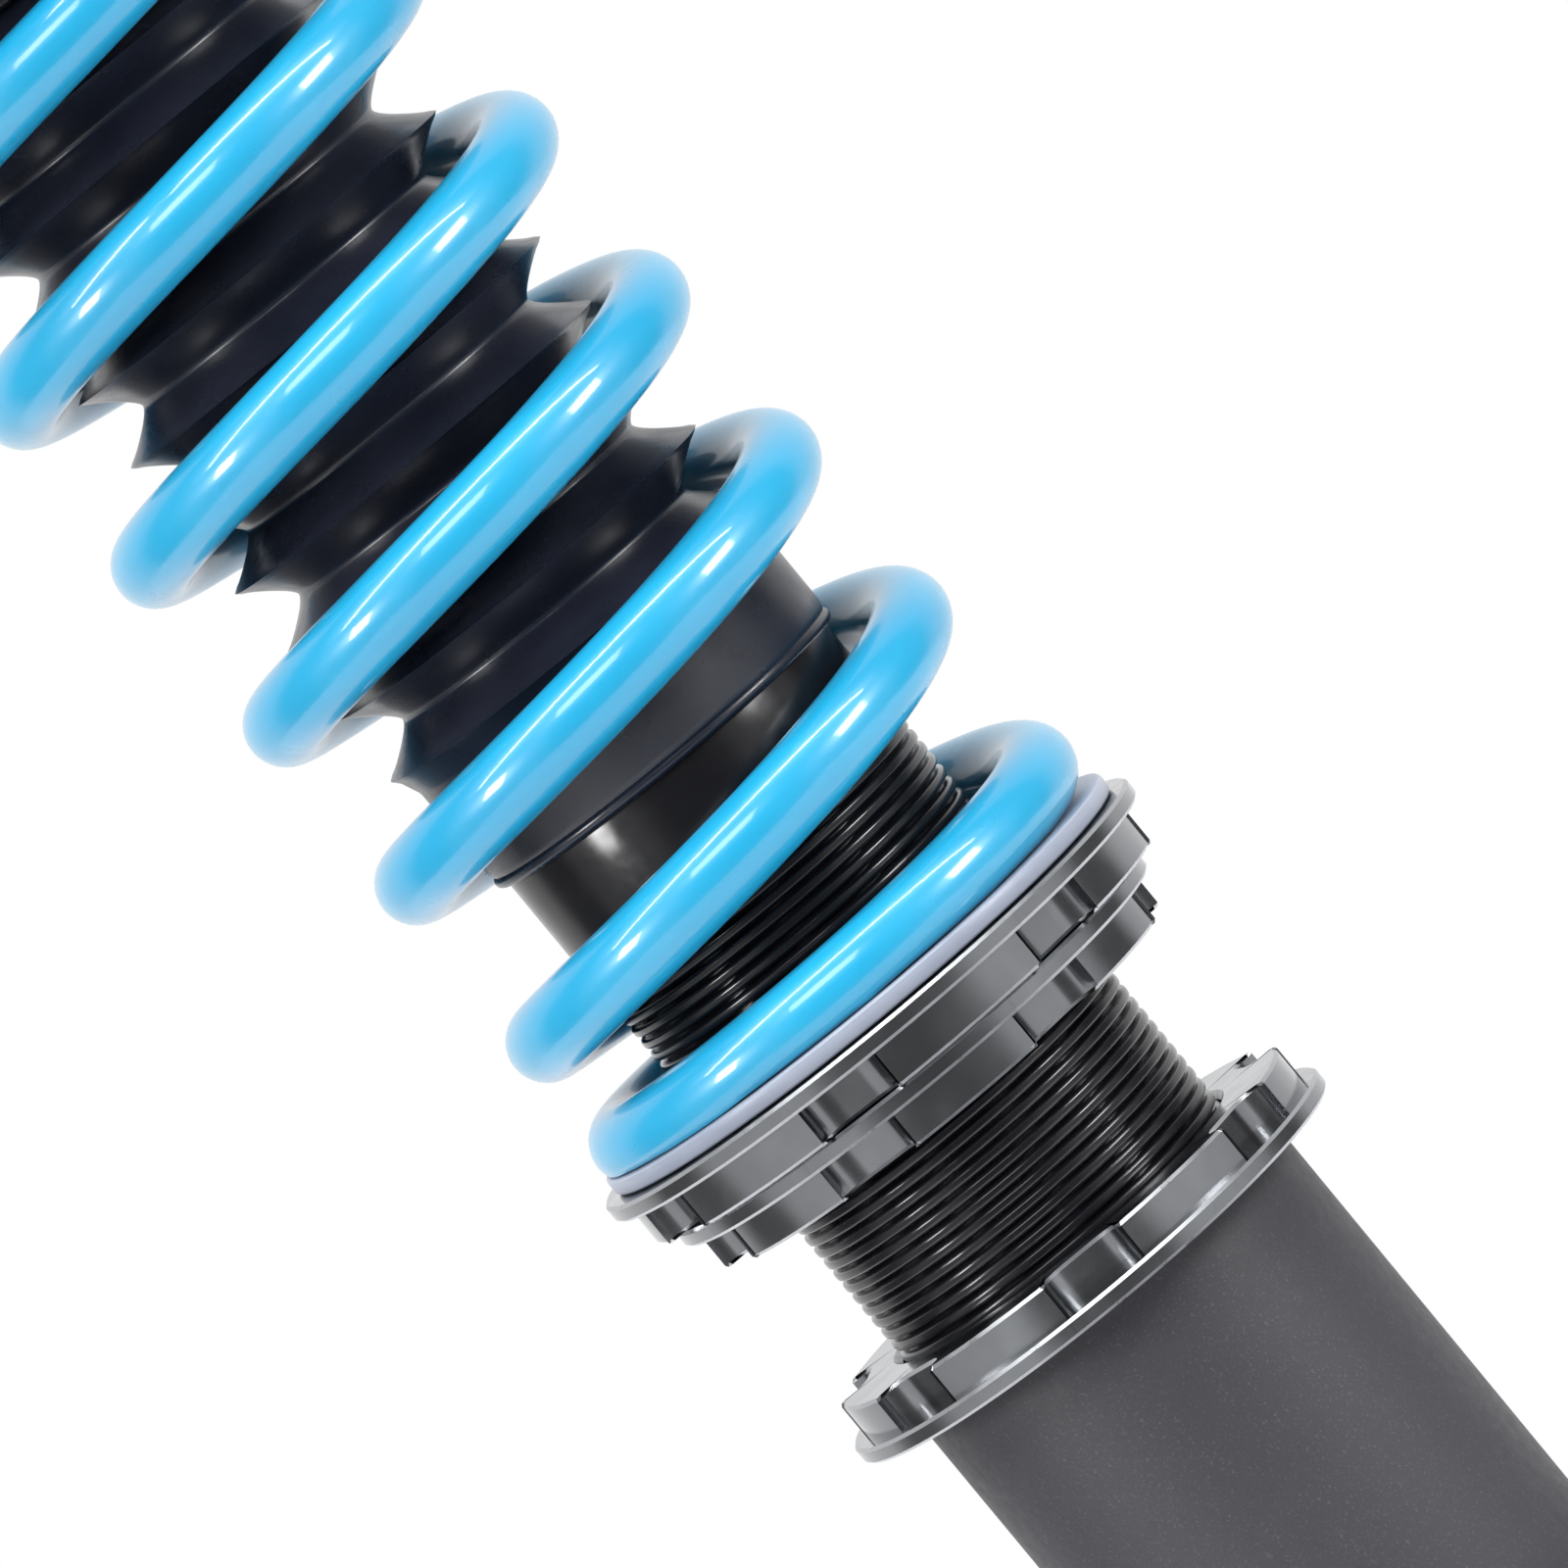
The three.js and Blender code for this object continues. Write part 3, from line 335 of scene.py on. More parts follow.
def slot_hole(centre, length, width, steps=14):
    """A slot along X that runs clockwise: two half circles of the slot's width."""
    half = (length - width) / 2
    right = arc((centre[0] + half, centre[1]), width / 2, 90, -90, steps)
    left = arc((centre[0] - half, centre[1]), width / 2, -90, -270, steps)
    return np.concatenate([right, left])


def hexagon(across):
    """Six corners, measured across the flats, anticlockwise, a corner towards +Y."""
    return arc((0, 0), across / np.sqrt(3), 30, 330, 6)


print("helpers ready: plates, holes, hexagons")

# %% [markdown]
# ## Finishes
#
# Every finish starts from the Principled shader. Its plain values sit on the shader's own
# sockets. What varies over the surface, such as grain, marks and small changes of colour,
# comes from noise read in Object coordinates, so it stays on the piece when the piece moves.


# %% A start for every finish
def join_nodes(tree, *links):
    """Joins nodes, one (node, output, node, input) for each link."""
    for source, output, target, socket in links:
        tree.links.new(source.outputs[output], target.inputs[socket])


def start_finish(name, colour, metallic=0.0, roughness=0.5, **sockets):
    """A material, its nodes, and its shader with plain values on its sockets."""
    material = bpy.data.materials.new(name)
    material.use_nodes = True
    tree = material.node_tree
    shader = tree.nodes["Principled BSDF"]
    shader.inputs["Base Color"].default_value = (*colour, 1)
    shader.inputs["Metallic"].default_value = metallic
    shader.inputs["Roughness"].default_value = roughness
    for socket, value in sockets.items():
        shader.inputs[socket.replace("_", " ")].default_value = value
    return material, tree, shader


def object_noise(tree, scale, detail=3.0):
    """Noise over the piece, in Object coordinates."""
    place = tree.nodes.new("ShaderNodeTexCoord")
    noise = tree.nodes.new("ShaderNodeTexNoise")
    noise.inputs["Scale"].default_value = scale
    noise.inputs["Detail"].default_value = detail
    tree.links.new(place.outputs["Object"], noise.inputs["Vector"])
    return noise.outputs["Fac"]


def turning_noise(tree, scale):
    """Noise that changes only with the distance from the axis and the height, as tool marks do."""
    place = tree.nodes.new("ShaderNodeTexCoord")
    parts = tree.nodes.new("ShaderNodeSeparateXYZ")
    flat = tree.nodes.new("ShaderNodeCombineXYZ")
    length = tree.nodes.new("ShaderNodeVectorMath")
    length.operation = "LENGTH"
    joined = tree.nodes.new("ShaderNodeCombineXYZ")
    noise = tree.nodes.new("ShaderNodeTexNoise")
    noise.inputs["Scale"].default_value = scale
    noise.inputs["Detail"].default_value = 2.0
    join_nodes(
        tree,
        (place, "Object", parts, "Vector"),
        (parts, "X", flat, "X"),
        (parts, "Y", flat, "Y"),
        (flat, "Vector", length, 0),
        (length, "Value", joined, "X"),
        (parts, "Z", joined, "Z"),
        (joined, "Vector", noise, "Vector"),
    )
    return noise.outputs["Fac"]


# %% Spreading a finish
def vary(tree, source, socket, least, most):
    """Carries a noise value, mostly between 0.3 and 0.7, to a socket, from its least to its most."""
    span = tree.nodes.new("ShaderNodeMapRange")
    span.inputs["From Min"].default_value = 0.3
    span.inputs["From Max"].default_value = 0.7
    span.inputs["To Min"].default_value = least
    span.inputs["To Max"].default_value = most
    tree.links.new(source, span.inputs["Value"])
    tree.links.new(span.outputs["Result"], socket)


def tint(tree, source, shader, dark, light, start=0.35, end=0.65):
    """Mixes the base colour between two tints."""
    ramp = tree.nodes.new("ShaderNodeValToRGB")
    ramp.color_ramp.elements[0].position = start
    ramp.color_ramp.elements[0].color = (*dark, 1)
    ramp.color_ramp.elements[1].position = end
    ramp.color_ramp.elements[1].color = (*light, 1)
    tree.links.new(source, ramp.inputs["Fac"])
    tree.links.new(ramp.outputs["Color"], shader.inputs["Base Color"])


def bump(tree, source, shader, height, strength=1.0):
    """Lets a noise value lift the surface by a real height in metres."""
    lift = tree.nodes.new("ShaderNodeBump")
    lift.inputs["Strength"].default_value = strength
    lift.inputs["Distance"].default_value = height
    tree.links.new(source, lift.inputs["Height"])
    tree.links.new(lift.outputs["Normal"], shader.inputs["Normal"])


print("finish helpers ready")

# %% [markdown]
# ## Powder coat on the spring
#
# The spring is dipped in sky-blue powder and baked. The coat is glossy, with a faint orange
# peel a few millimetres across, so its highlights are long and soft with slightly wavy edges.
# A clear coat layer over the colour gives the second, sharper reflection.


# %% Spring paint
def spring_paint():
    """Sky blue under a clear gloss, with orange peel and slight changes of tint."""
    blue = (0.011, 0.29, 0.5)
    material, tree, shader = start_finish(
        "spring_blue", blue, roughness=0.3, Coat_Weight=0.6, Coat_Roughness=0.06
    )
    tint(tree, object_noise(tree, 40, 2), shader, (0.01, 0.28, 0.488), (0.012, 0.3, 0.512))
    peel = object_noise(tree, 260, 1)
    bump(tree, peel, shader, 0.03 * MM, 0.4)
    vary(tree, object_noise(tree, 120, 2), shader.inputs["Roughness"], 0.27, 0.33)
    return material


SPRING_BLUE = spring_paint()
print("made", SPRING_BLUE.name)

# %% [markdown]
# ## Metals
#
# The rings and seats are turned from aluminium and plated a dark, smoky grey. They are
# bright enough to mirror the room in bands, with fine turning marks round the axis. Their
# chamfers were cut last, so they are a lighter, sharper line.


# %% Metal finishes
def smoky_metal():
    """Dark plated aluminium with turning marks: grey metal, low roughness, ring-shaped grain."""
    material, tree, shader = start_finish("anodised_grey", (0.29, 0.3, 0.315), 1.0, 0.17)
    marks = turning_noise(tree, 5200)
    bump(tree, marks, shader, 0.004 * MM, 0.35)
    vary(tree, object_noise(tree, 160, 4), shader.inputs["Roughness"], 0.12, 0.22)
    tint(tree, object_noise(tree, 45), shader, (0.27, 0.28, 0.295), (0.31, 0.32, 0.335))
    return material


def bright_edge():
    """A freshly cut chamfer: lighter metal with the cutter's fine marks."""
    material, tree, shader = start_finish("bright_edge", (0.43, 0.44, 0.46), 1.0, 0.3)
    bump(tree, turning_noise(tree, 3000), shader, 0.002 * MM, 0.15)
    vary(tree, object_noise(tree, 300), shader.inputs["Roughness"], 0.26, 0.38)
    return material


def turned_metal(name, colour, roughness, mark_height=0.004 * MM):
    """Bare metal with turning marks about the strut's axis and small changes of roughness."""
    material, tree, shader = start_finish(name, colour, 1.0, roughness)
    bump(tree, turning_noise(tree, 4200), shader, mark_height, 0.5)
    wear = object_noise(tree, 420, 2)
    vary(tree, wear, shader.inputs["Roughness"], roughness * 0.92, roughness * 1.12)
    return material


def plated_metal(name, dark, light, roughness):
    """Zinc or oxide on steel: two tints in soft clouds, and a fine grain."""
    material, tree, shader = start_finish(name, light, 1.0, roughness)
    tint(tree, object_noise(tree, 120, 4), shader, dark, light)
    bump(tree, object_noise(tree, 2500, 2), shader, 0.006 * MM, 0.4)
    vary(tree, object_noise(tree, 350, 3), shader.inputs["Roughness"], roughness * 0.75, roughness * 1.3)
    return material


SMOKY = smoky_metal()
BRIGHT_EDGE = bright_edge()
MACHINED = turned_metal("machined_aluminium", (0.44, 0.45, 0.47), 0.3)
BEARING_STEEL = turned_metal("bearing_steel", (0.56, 0.57, 0.59), 0.22, 0.002 * MM)
POLISHED = turned_metal("polished_steel", (0.8, 0.81, 0.83), 0.08, 0.0008 * MM)
ZINC = plated_metal("zinc_yellow", (0.48, 0.42, 0.25), (0.62, 0.56, 0.36), 0.3)
BLACK_OXIDE = plated_metal("black_oxide", (0.03, 0.03, 0.032), (0.06, 0.06, 0.062), 0.38)
SPRING_STEEL = plated_metal("spring_steel", (0.1, 0.1, 0.105), (0.17, 0.17, 0.175), 0.4)
PISTON_METAL = turned_metal("piston_metal", (0.42, 0.43, 0.45), 0.32)
BRONZE = turned_metal("guide_bronze", (0.5, 0.34, 0.15), 0.35)
print("metals made")

# %% [markdown]
# ## Paint, rubber and plastic
#
# The damper body is glossy black; the foot is a charcoal powder coat with a fine sandy
# texture that sparkles a little; the boot is moulded rubber, satin, with the mould's faint
# grain; the washer is a milky plastic that lets some light through.


# %% Other finishes
def gloss_black():
    """Deep black with a soft gloss and a few soft waves; its blue tint is partly painted bounce light
    from the spring.
    """
    # Painted bounce light: the blue in this black stands in, in part, for blue light thrown back from
    # the spring.
    material, tree, shader = start_finish(
        "gloss_black", (0.007, 0.009, 0.018), roughness=0.3, Specular_IOR_Level=0.2
    )
    bump(tree, object_noise(tree, 380, 2), shader, 0.012 * MM, 0.5)
    vary(tree, object_noise(tree, 130, 4), shader.inputs["Roughness"], 0.22, 0.38)
    return material


def thread_black():
    """The same paint where it lies thin over the thread: neutral black and glossier."""
    material, tree, shader = start_finish(
        "thread_black", (0.006, 0.006, 0.008), roughness=0.17, Specular_IOR_Level=0.45
    )
    bump(tree, object_noise(tree, 1200, 2), shader, 0.004 * MM, 0.4)
    vary(tree, object_noise(tree, 300, 3), shader.inputs["Roughness"], 0.13, 0.23)
    return material


def charcoal_powder():
    """Charcoal with a sandy skin: fine bumps, and small lighter and darker specks."""
    material, tree, shader = start_finish(
        "powder_charcoal", (0.036, 0.035, 0.041), roughness=0.55, Specular_IOR_Level=0.4
    )
    grain = object_noise(tree, 2600, 2)
    tint(tree, grain, shader, (0.033, 0.032, 0.038), (0.075, 0.073, 0.08), 0.58, 0.8)
    bump(tree, grain, shader, 0.09 * MM, 0.6)
    vary(tree, object_noise(tree, 500, 3), shader.inputs["Roughness"], 0.46, 0.58)
    return material


def boot_rubber():
    """Satin black rubber: a fine moulded grain and slightly greyer, rubbed areas. Its blue tint is
    partly painted bounce light from the spring.
    """
    # Painted bounce light: the blue in this colour and in both tints stands in, in part, for blue light
    # thrown back from the spring.
    material, tree, shader = start_finish("boot_rubber", (0.01, 0.0125, 0.022), roughness=0.27)
    tint(tree, object_noise(tree, 70, 5), shader, (0.008, 0.010, 0.018), (0.014, 0.016, 0.027))
    bump(tree, object_noise(tree, 2200, 2), shader, 0.012 * MM, 0.5)
    vary(tree, object_noise(tree, 150, 4), shader.inputs["Roughness"], 0.23, 0.36)
    return material


# %% Plastics and foam
def milky_plastic():
    """Pale lavender plastic that scatters light just under its surface; part of its blue is a painted
    reflection of the spring.
    """
    # Partly painted reflection: the washer is pale lavender, and some of the blue in this colour and in
    # both tints stands in for the spring's blue reflection.
    material, tree, shader = start_finish(
        "washer_plastic", (0.27, 0.3, 0.37), roughness=0.34, Subsurface_Weight=0.35
    )
    shader.inputs["Subsurface Radius"].default_value = (0.9, 0.9, 1.0)
    shader.inputs["Subsurface Scale"].default_value = 1.5 * MM
    tint(tree, object_noise(tree, 90), shader, (0.25, 0.28, 0.35), (0.29, 0.32, 0.39))
    bump(tree, turning_noise(tree, 3000), shader, 0.004 * MM, 0.4)
    return material


def soft_polymer(name, colour, roughness, pore_height):
    """Foam, seal rubber or filled plastic: one colour with pores of the given height."""
    material, tree, shader = start_finish(name, colour, roughness=roughness)
    darker = tuple(0.75 * channel for channel in colour)
    pores = object_noise(tree, 1300, 3)
    tint(tree, pores, shader, darker, colour)
    bump(tree, pores, shader, pore_height, 0.6)
    return material


GLOSS_BLACK = gloss_black()
THREAD_BLACK = thread_black()
CHARCOAL = charcoal_powder()
BOOT_RUBBER = boot_rubber()
MILKY = milky_plastic()
BUMP_FOAM = soft_polymer("bump_foam", (0.62, 0.46, 0.07), 0.75, 0.12 * MM)
SEAL_RUBBER = soft_polymer("seal_rubber", (0.02, 0.02, 0.022), 0.5, 0.02 * MM)
BAND_PLASTIC = soft_polymer("band_ptfe", (0.16, 0.11, 0.07), 0.5, 0.01 * MM)
BLACK_ANODISED = turned_metal("anodised_black", (0.05, 0.051, 0.056), 0.3)
print("paint, rubber and plastic made")

# %% [markdown]
# ## Putting a piece in place
#
# Each piece takes its finishes, replaces the frame's plain node and rides on the same body.
# One function does all three.


# %% Placing
MATERIAL_BY_SLOT = {
    material.name.split(".")[0]: material
    for material in [
        SPRING_BLUE, SMOKY, MACHINED, BEARING_STEEL, POLISHED, ZINC, BLACK_OXIDE, SPRING_STEEL,
        PISTON_METAL, BRONZE, GLOSS_BLACK, CHARCOAL, BOOT_RUBBER, MILKY, BUMP_FOAM, SEAL_RUBBER,
        BAND_PLASTIC, BLACK_ANODISED,
    ]
}


def finish_of(node):
    """The finish that the record gives to a node, by its slot's name."""
    first = frame["nodes"][node].material_slots[0].material
    return MATERIAL_BY_SLOT[first.name.split(".")[0]]


def settle(piece, node, finishes=None):
    """Gives a piece its finishes, or else the node's own, and lets it stand for that node on the
    node's body."""
    finishes = finishes or [finish_of(node)]
    piece.data.materials.clear()
    for material in finishes:
        piece.data.materials.append(material)
    body = frame["nodes"][node]["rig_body"]
    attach(piece, body)
    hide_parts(node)
    return piece


print("ready to place pieces")

# %% [markdown]
# ## The spring
#
# A coil spring is one bar wound on a mandrel. In the middle the turns climb 27.1 mm each. At
# both ends they close up, climbing only 7.2 mm a turn, and are ground flat, so the bar thins
# to a tip that the next coil just clears. The line through the bar's middle is a helix whose
# height is two straight slopes joined by a smooth corner; a circle is carried along it, and
# what would pass the ground faces is pressed onto them.

# %% Spring sizes
BAR_RADIUS = 5.5 * MM
PITCH = 27.12 * MM
END_RISE = 7.2 * MM
END_TURNS = 0.806
CORNER_SOFTNESS = 0.08
TIP_THICKNESS = 4.87 * MM
TIP_ANGLE = np.radians(70)
STEPS_PER_TURN = 90
BAR_STEPS = 36
SPRING_BOTTOM = low("coil_spring")
SPRING_TOP = high("coil_spring")
SPRING_LENGTH = SPRING_TOP - SPRING_BOTTOM
SPRING_BORE = 31 * MM
COIL_RADIUS = SPRING_BORE + BAR_RADIUS - 0.1 * MM
TIP_HEIGHT = TIP_THICKNESS - BAR_RADIUS
TURNS = (SPRING_LENGTH - 2 * TIP_HEIGHT + 2 * (PITCH - END_RISE) * END_TURNS) / PITCH
print("the spring has", round(TURNS, 2), "turns")


# %% Spring shape
def lower_height(turn):
    """Height of the bar's middle: the end's slope, plus a ramp (u + sqrt(u² + w²)) / 2 for the
    extra slope, where u is how many turns it is past the closed end."""
    past = turn - END_TURNS
    ramp = (past + np.hypot(past, CORNER_SOFTNESS)) / 2
    return TIP_HEIGHT + END_RISE * turn + (PITCH - END_RISE) * ramp


def spring_line(turn):
    """The bar's middle line as points, and its height alone. The upper half mirrors the lower."""
    mirrored = SPRING_LENGTH - lower_height(TURNS - turn)
    height = np.where(turn < TURNS / 2, lower_height(turn), mirrored)
    angle = TIP_ANGLE + FULL_TURN * turn
    x = COIL_RADIUS * np.cos(angle)
    y = COIL_RADIUS * np.sin(angle)
    return np.stack([x, y, SPRING_BOTTOM + height], -1), height


def spring_points():
    """A circle of the bar's radius in the plane across the line: its two directions are the
    outward one and the tangent crossed with it. Heights past the ground faces are pressed on."""
    turn = np.linspace(0, TURNS, int(TURNS * STEPS_PER_TURN))
    middle, height = spring_line(turn)
    tangent = np.gradient(middle, axis=0)
    tangent /= np.linalg.norm(tangent, axis=1, keepdims=True)
    angle = TIP_ANGLE + FULL_TURN * turn
    outward = np.stack([np.cos(angle), np.sin(angle), np.zeros_like(angle)], -1)
    upward = np.cross(outward, tangent) * -1
    around = (np.arange(BAR_STEPS) * FULL_TURN / BAR_STEPS)[None, :, None]
    circle = outward[:, None] * np.cos(around) + upward[:, None] * np.sin(around)
    points = middle[:, None] + BAR_RADIUS * circle
    return press_flat(points, middle, outward), height


def press_flat(points, middle, outward):
    """Moves what lies past a ground face onto it, and pulls it in to the width of the bar there:
    the square root of the radius squared less the face's distance squared."""
    across = np.einsum("ijk,ik->ij", points - middle[:, None], outward)
    pressed = points.copy()
    for face, sign in [(SPRING_BOTTOM, 1), (SPRING_TOP, -1)]:
        past = sign * (points[..., 2] - face) < 0
        distance = np.clip(sign * (face - middle[:, 2]), -BAR_RADIUS, BAR_RADIUS)
        half_width = np.sqrt(BAR_RADIUS**2 - distance**2)[:, None]
        kept = np.clip(across, -half_width, half_width)
        moved = pressed + (kept - across)[..., None] * outward[:, None]
        pressed[past] = moved[past]
        pressed[..., 2] = np.where(past, face, pressed[..., 2])
    return pressed


# %% Spring mesh
wire, wire_height = spring_points()
rings = len(wire)
tip_centres = [wire[0].mean(0), wire[-1].mean(0)]
spring_mesh_points = np.concatenate([wire.reshape(-1, 3), tip_centres])
wire_quads = grid_quads(rings, BAR_STEPS, False, True)
rim = np.arange(BAR_STEPS)
rim_next = (rim + 1) % BAR_STEPS
last_rim = (rings - 1) * BAR_STEPS
centre = np.full(BAR_STEPS, rings * BAR_STEPS)
first_cap = np.stack([centre, rim, rim_next], -1)
last_cap = np.stack([centre + 1, rim_next + last_rim, rim + last_rim], -1)
spring = new_piece("spring_coil", spring_mesh_points, [wire_quads, first_cap, last_cap], 50)
spring.data.materials.append(SPRING_BLUE)
print("spring:", len(spring.data.polygons), "faces")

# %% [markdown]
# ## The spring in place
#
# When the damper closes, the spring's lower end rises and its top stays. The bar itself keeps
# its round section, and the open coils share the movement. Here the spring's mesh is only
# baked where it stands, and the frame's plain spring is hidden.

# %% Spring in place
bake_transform(spring)
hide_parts("coil_spring")

# %% [markdown]
# ## The dust boot
#
# The boot is blow-moulded rubber: about ten folds with pointed, beaded crests, round valleys and
# hollow flanks, a plain cuff that grips the damper body, and a neck that is pushed into the
# upper seat. Its wall is 1.2 mm. One profile runs up the outside and back down the inside.

# %% Boot profile
BOOT_CREST = 30.4 * MM
BOOT_VALLEY = 23.9 * MM
BEAD_HEIGHT = 0.45 * MM
BOOT_WALL = 1.2 * MM
FOLD_PITCH = 10.7 * MM
FIRST_CREST = TUBE_TOP + 109.6 * MM
CUFF_RADIUS = 28.35 * MM
CUFF_BOTTOM = low("dust_boot")
CUFF_TOP = TUBE_TOP + 106.2 * MM
BOOT_TOP = high("dust_boot")
NECK_BOTTOM = low("upper_spring_seat") - 0.6 * MM
NECK_RADIUS = 25.6 * MM
BODY_RADIUS = reach("threaded_body")
FOLDS = int((NECK_BOTTOM - FIRST_CREST) / FOLD_PITCH)
print("the boot has", FOLDS + 1, "crests")


def fold_radius(height):
    """Radius of the folds: valley + (crest - valley)(1 - u)^1.25, where u is the distance from
    the nearest crest in half pitches, rounded at the crest and at the valley, plus a small
    bead exp(-(u/w)²) along the crest."""
    u = (height - FIRST_CREST) / FOLD_PITCH
    u = np.abs(u - np.round(u)) * 2
    rounded = np.hypot(u, 0.05) - 0.05
    rise = np.hypot(1 - rounded, 0.1) - 0.1
    flank = (rise / rise.max()) ** 1.25
    bead = np.exp(-((u / 0.11) ** 2))
    return BOOT_VALLEY + (BOOT_CREST - BEAD_HEIGHT - BOOT_VALLEY) * flank + BEAD_HEIGHT * bead


def boot_outside():
    """The outside from the cuff's lower lip to the neck's top, as (radius, height)."""
    lip = np.radians(np.linspace(-90, 60, 9))
    lip_radius = 0.9 * MM
    lip_curve = np.column_stack([
        CUFF_RADIUS + 0.12 * MM - lip_radius + lip_radius * np.cos(lip),
        CUFF_BOTTOM + lip_radius + lip_radius * np.sin(lip),
    ])
    last_fold = FIRST_CREST + (FOLDS + 0.42) * FOLD_PITCH
    heights = np.linspace(FIRST_CREST, last_fold, 24 * FOLDS + 11)
    folds = np.column_stack([fold_radius(heights), heights])
    cuff = [
        (CUFF_RADIUS, CUFF_BOTTOM + 2.6 * MM),
        (CUFF_RADIUS, CUFF_TOP - 0.5 * MM),
    ]
    shoulder = [
        (CUFF_RADIUS + 0.1 * MM, CUFF_TOP),
        (BOOT_CREST - 0.9 * MM, FIRST_CREST - 1.0 * MM),
    ]
    neck = [
        (NECK_RADIUS, NECK_BOTTOM + 0.5 * MM),
        (NECK_RADIUS, BOOT_TOP),
    ]
    return np.concatenate([lip_curve, cuff, shoulder, folds, neck])


def boot_inside(outside):
    """The inside: the outside moved in by the wall across its own slope, and never into the body."""
    slope = np.gradient(outside, axis=0)
    normal = np.column_stack([slope[:, 1], -slope[:, 0]])
    normal /= np.linalg.norm(normal, axis=1, keepdims=True)
    inside = outside - normal * BOOT_WALL
    over_cuff = outside[:, 1] < CUFF_TOP
    inside[over_cuff, 0] = BODY_RADIUS + 0.15 * MM
    inside[over_cuff, 1] = outside[over_cuff, 1]
    return inside[::-1]


# %% Boot mesh
outside = boot_outside()
boot_profile = np.concatenate([outside, boot_inside(outside)])
BOOT_COLUMNS = 112
boot = new_piece(
    "dust_bellows",
    turned_grid(boot_profile, BOOT_COLUMNS).reshape(-1, 3),
    [grid_quads(len(boot_profile), BOOT_COLUMNS, True, True)],
    60,
)
boot.data.materials.append(BOOT_RUBBER)
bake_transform(boot)
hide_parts("dust_boot")
print("boot:", len(boot.data.polygons), "faces")

# %% [markdown]
# ## The damper body
#
# The body is a steel tube with an M54 x 2 thread on its lower part. A real thread is a helix:
# the radius at each point depends on the height less the share of a turn already made, so the
# crests climb 2 mm in one turn. Cut and painted, the crests are flat and the roots narrow.
# The thread fades out smoothly at both ends.

# %% Threaded body
THREAD_PITCH = 2 * MM
THREAD_DEPTH = 1.05 * MM
THREAD_TOP = TUBE_TOP + 75.5 * MM
THREAD_LOW = TUBE_TOP - 46 * MM
ROWS_PER_PITCH = 14
BODY_COLUMNS = 96
BODY_WALL = 4 * MM
LOW_CHAMFER = 0.8 * MM
HIGH_CHAMFER = 0.6 * MM


def threaded_grid():
    """Points of the outside: radius = body radius - depth (1 - wave), where the phase p is
    height / pitch - angle / full turn, s is 1.5 |sin(pi p)| and the wave is s / (1 + s^6)^(1/6):
    flat crests and narrow roots. The depth fades out at both ends of the thread."""
    count = int((THREAD_TOP - THREAD_LOW) / THREAD_PITCH * ROWS_PER_PITCH)
    height = np.linspace(THREAD_LOW, THREAD_TOP, count)
    smooth_low = low("threaded_body") + LOW_CHAMFER
    smooth_high = high("threaded_body") - HIGH_CHAMFER
    height = np.concatenate([[smooth_low], height, [smooth_high]])
    angle = np.arange(BODY_COLUMNS) * FULL_TURN / BODY_COLUMNS
    phase = height[:, None] / THREAD_PITCH - angle[None, :] / FULL_TURN
    slope = 1.5 * np.abs(np.sin(np.pi * phase))
    wave = slope / (1 + slope**6) ** (1 / 6)
    fade_low = np.clip((height - THREAD_LOW) / (1.5 * THREAD_PITCH), 0, 1)
    fade_high = np.clip((THREAD_TOP - height) / (1.0 * THREAD_PITCH), 0, 1)
    depth = THREAD_DEPTH * (fade_low * fade_high)[:, None]
    radius = BODY_RADIUS - depth * (1 - wave)
    x = radius * np.cos(angle)
    y = radius * np.sin(angle)
    z = np.broadcast_to(height[:, None], x.shape)
    return np.stack([x, y, z], -1)


# %% Body mesh
outer_wall = threaded_grid()
rims = [
    (BODY_RADIUS - HIGH_CHAMFER, high("threaded_body")),
    (BODY_RADIUS - BODY_WALL, high("threaded_body")),
    (BODY_RADIUS - BODY_WALL, low("threaded_body")),
    (BODY_RADIUS - LOW_CHAMFER, low("threaded_body")),
]
body_grid = np.concatenate([outer_wall, turned_grid(rims, BODY_COLUMNS)])
damper_body = new_piece(
    "damper_body_threaded",
    body_grid.reshape(-1, 3),
    [grid_quads(len(body_grid), BODY_COLUMNS, True, True)],
    75,
)
settle(damper_body, "threaded_body", [GLOSS_BLACK, THREAD_BLACK])
thread_rows = np.zeros(len(body_grid), np.int32)
thread_rows[1 : len(outer_wall) - 1] = 1
damper_body.data.polygons.foreach_set("material_index", np.repeat(thread_rows, BODY_COLUMNS))
print("damper body:", len(damper_body.data.polygons), "faces")

# %% [markdown]
# ## Castellated rings
#
# The seat and the two lock rings share one design: a thin flange, and a thicker tier with
# seven notches for a hook spanner. Seen from above, the tier's outline runs round the rim and
# dips into each notch, with round corners at the notch's floor. The ring is that outline and
# plain circles stacked at a few heights, with every loop using the same angles, so the loops
# join into one clean grid. Chamfers between loops get the bright edge finish.

# %% Ring outline
NOTCHES = 7
NOTCH_DEPTH = 4 * MM
NOTCH_WIDTH = 12.7 * MM
NOTCH_CORNER = 3.8 * MM
FLANGE_THICKNESS = 2.5 * MM
RING_CHAMFER = 0.45 * MM
BORE_CHAMFER = 0.9 * MM
RING_BORE = BODY_RADIUS + 0.3 * MM


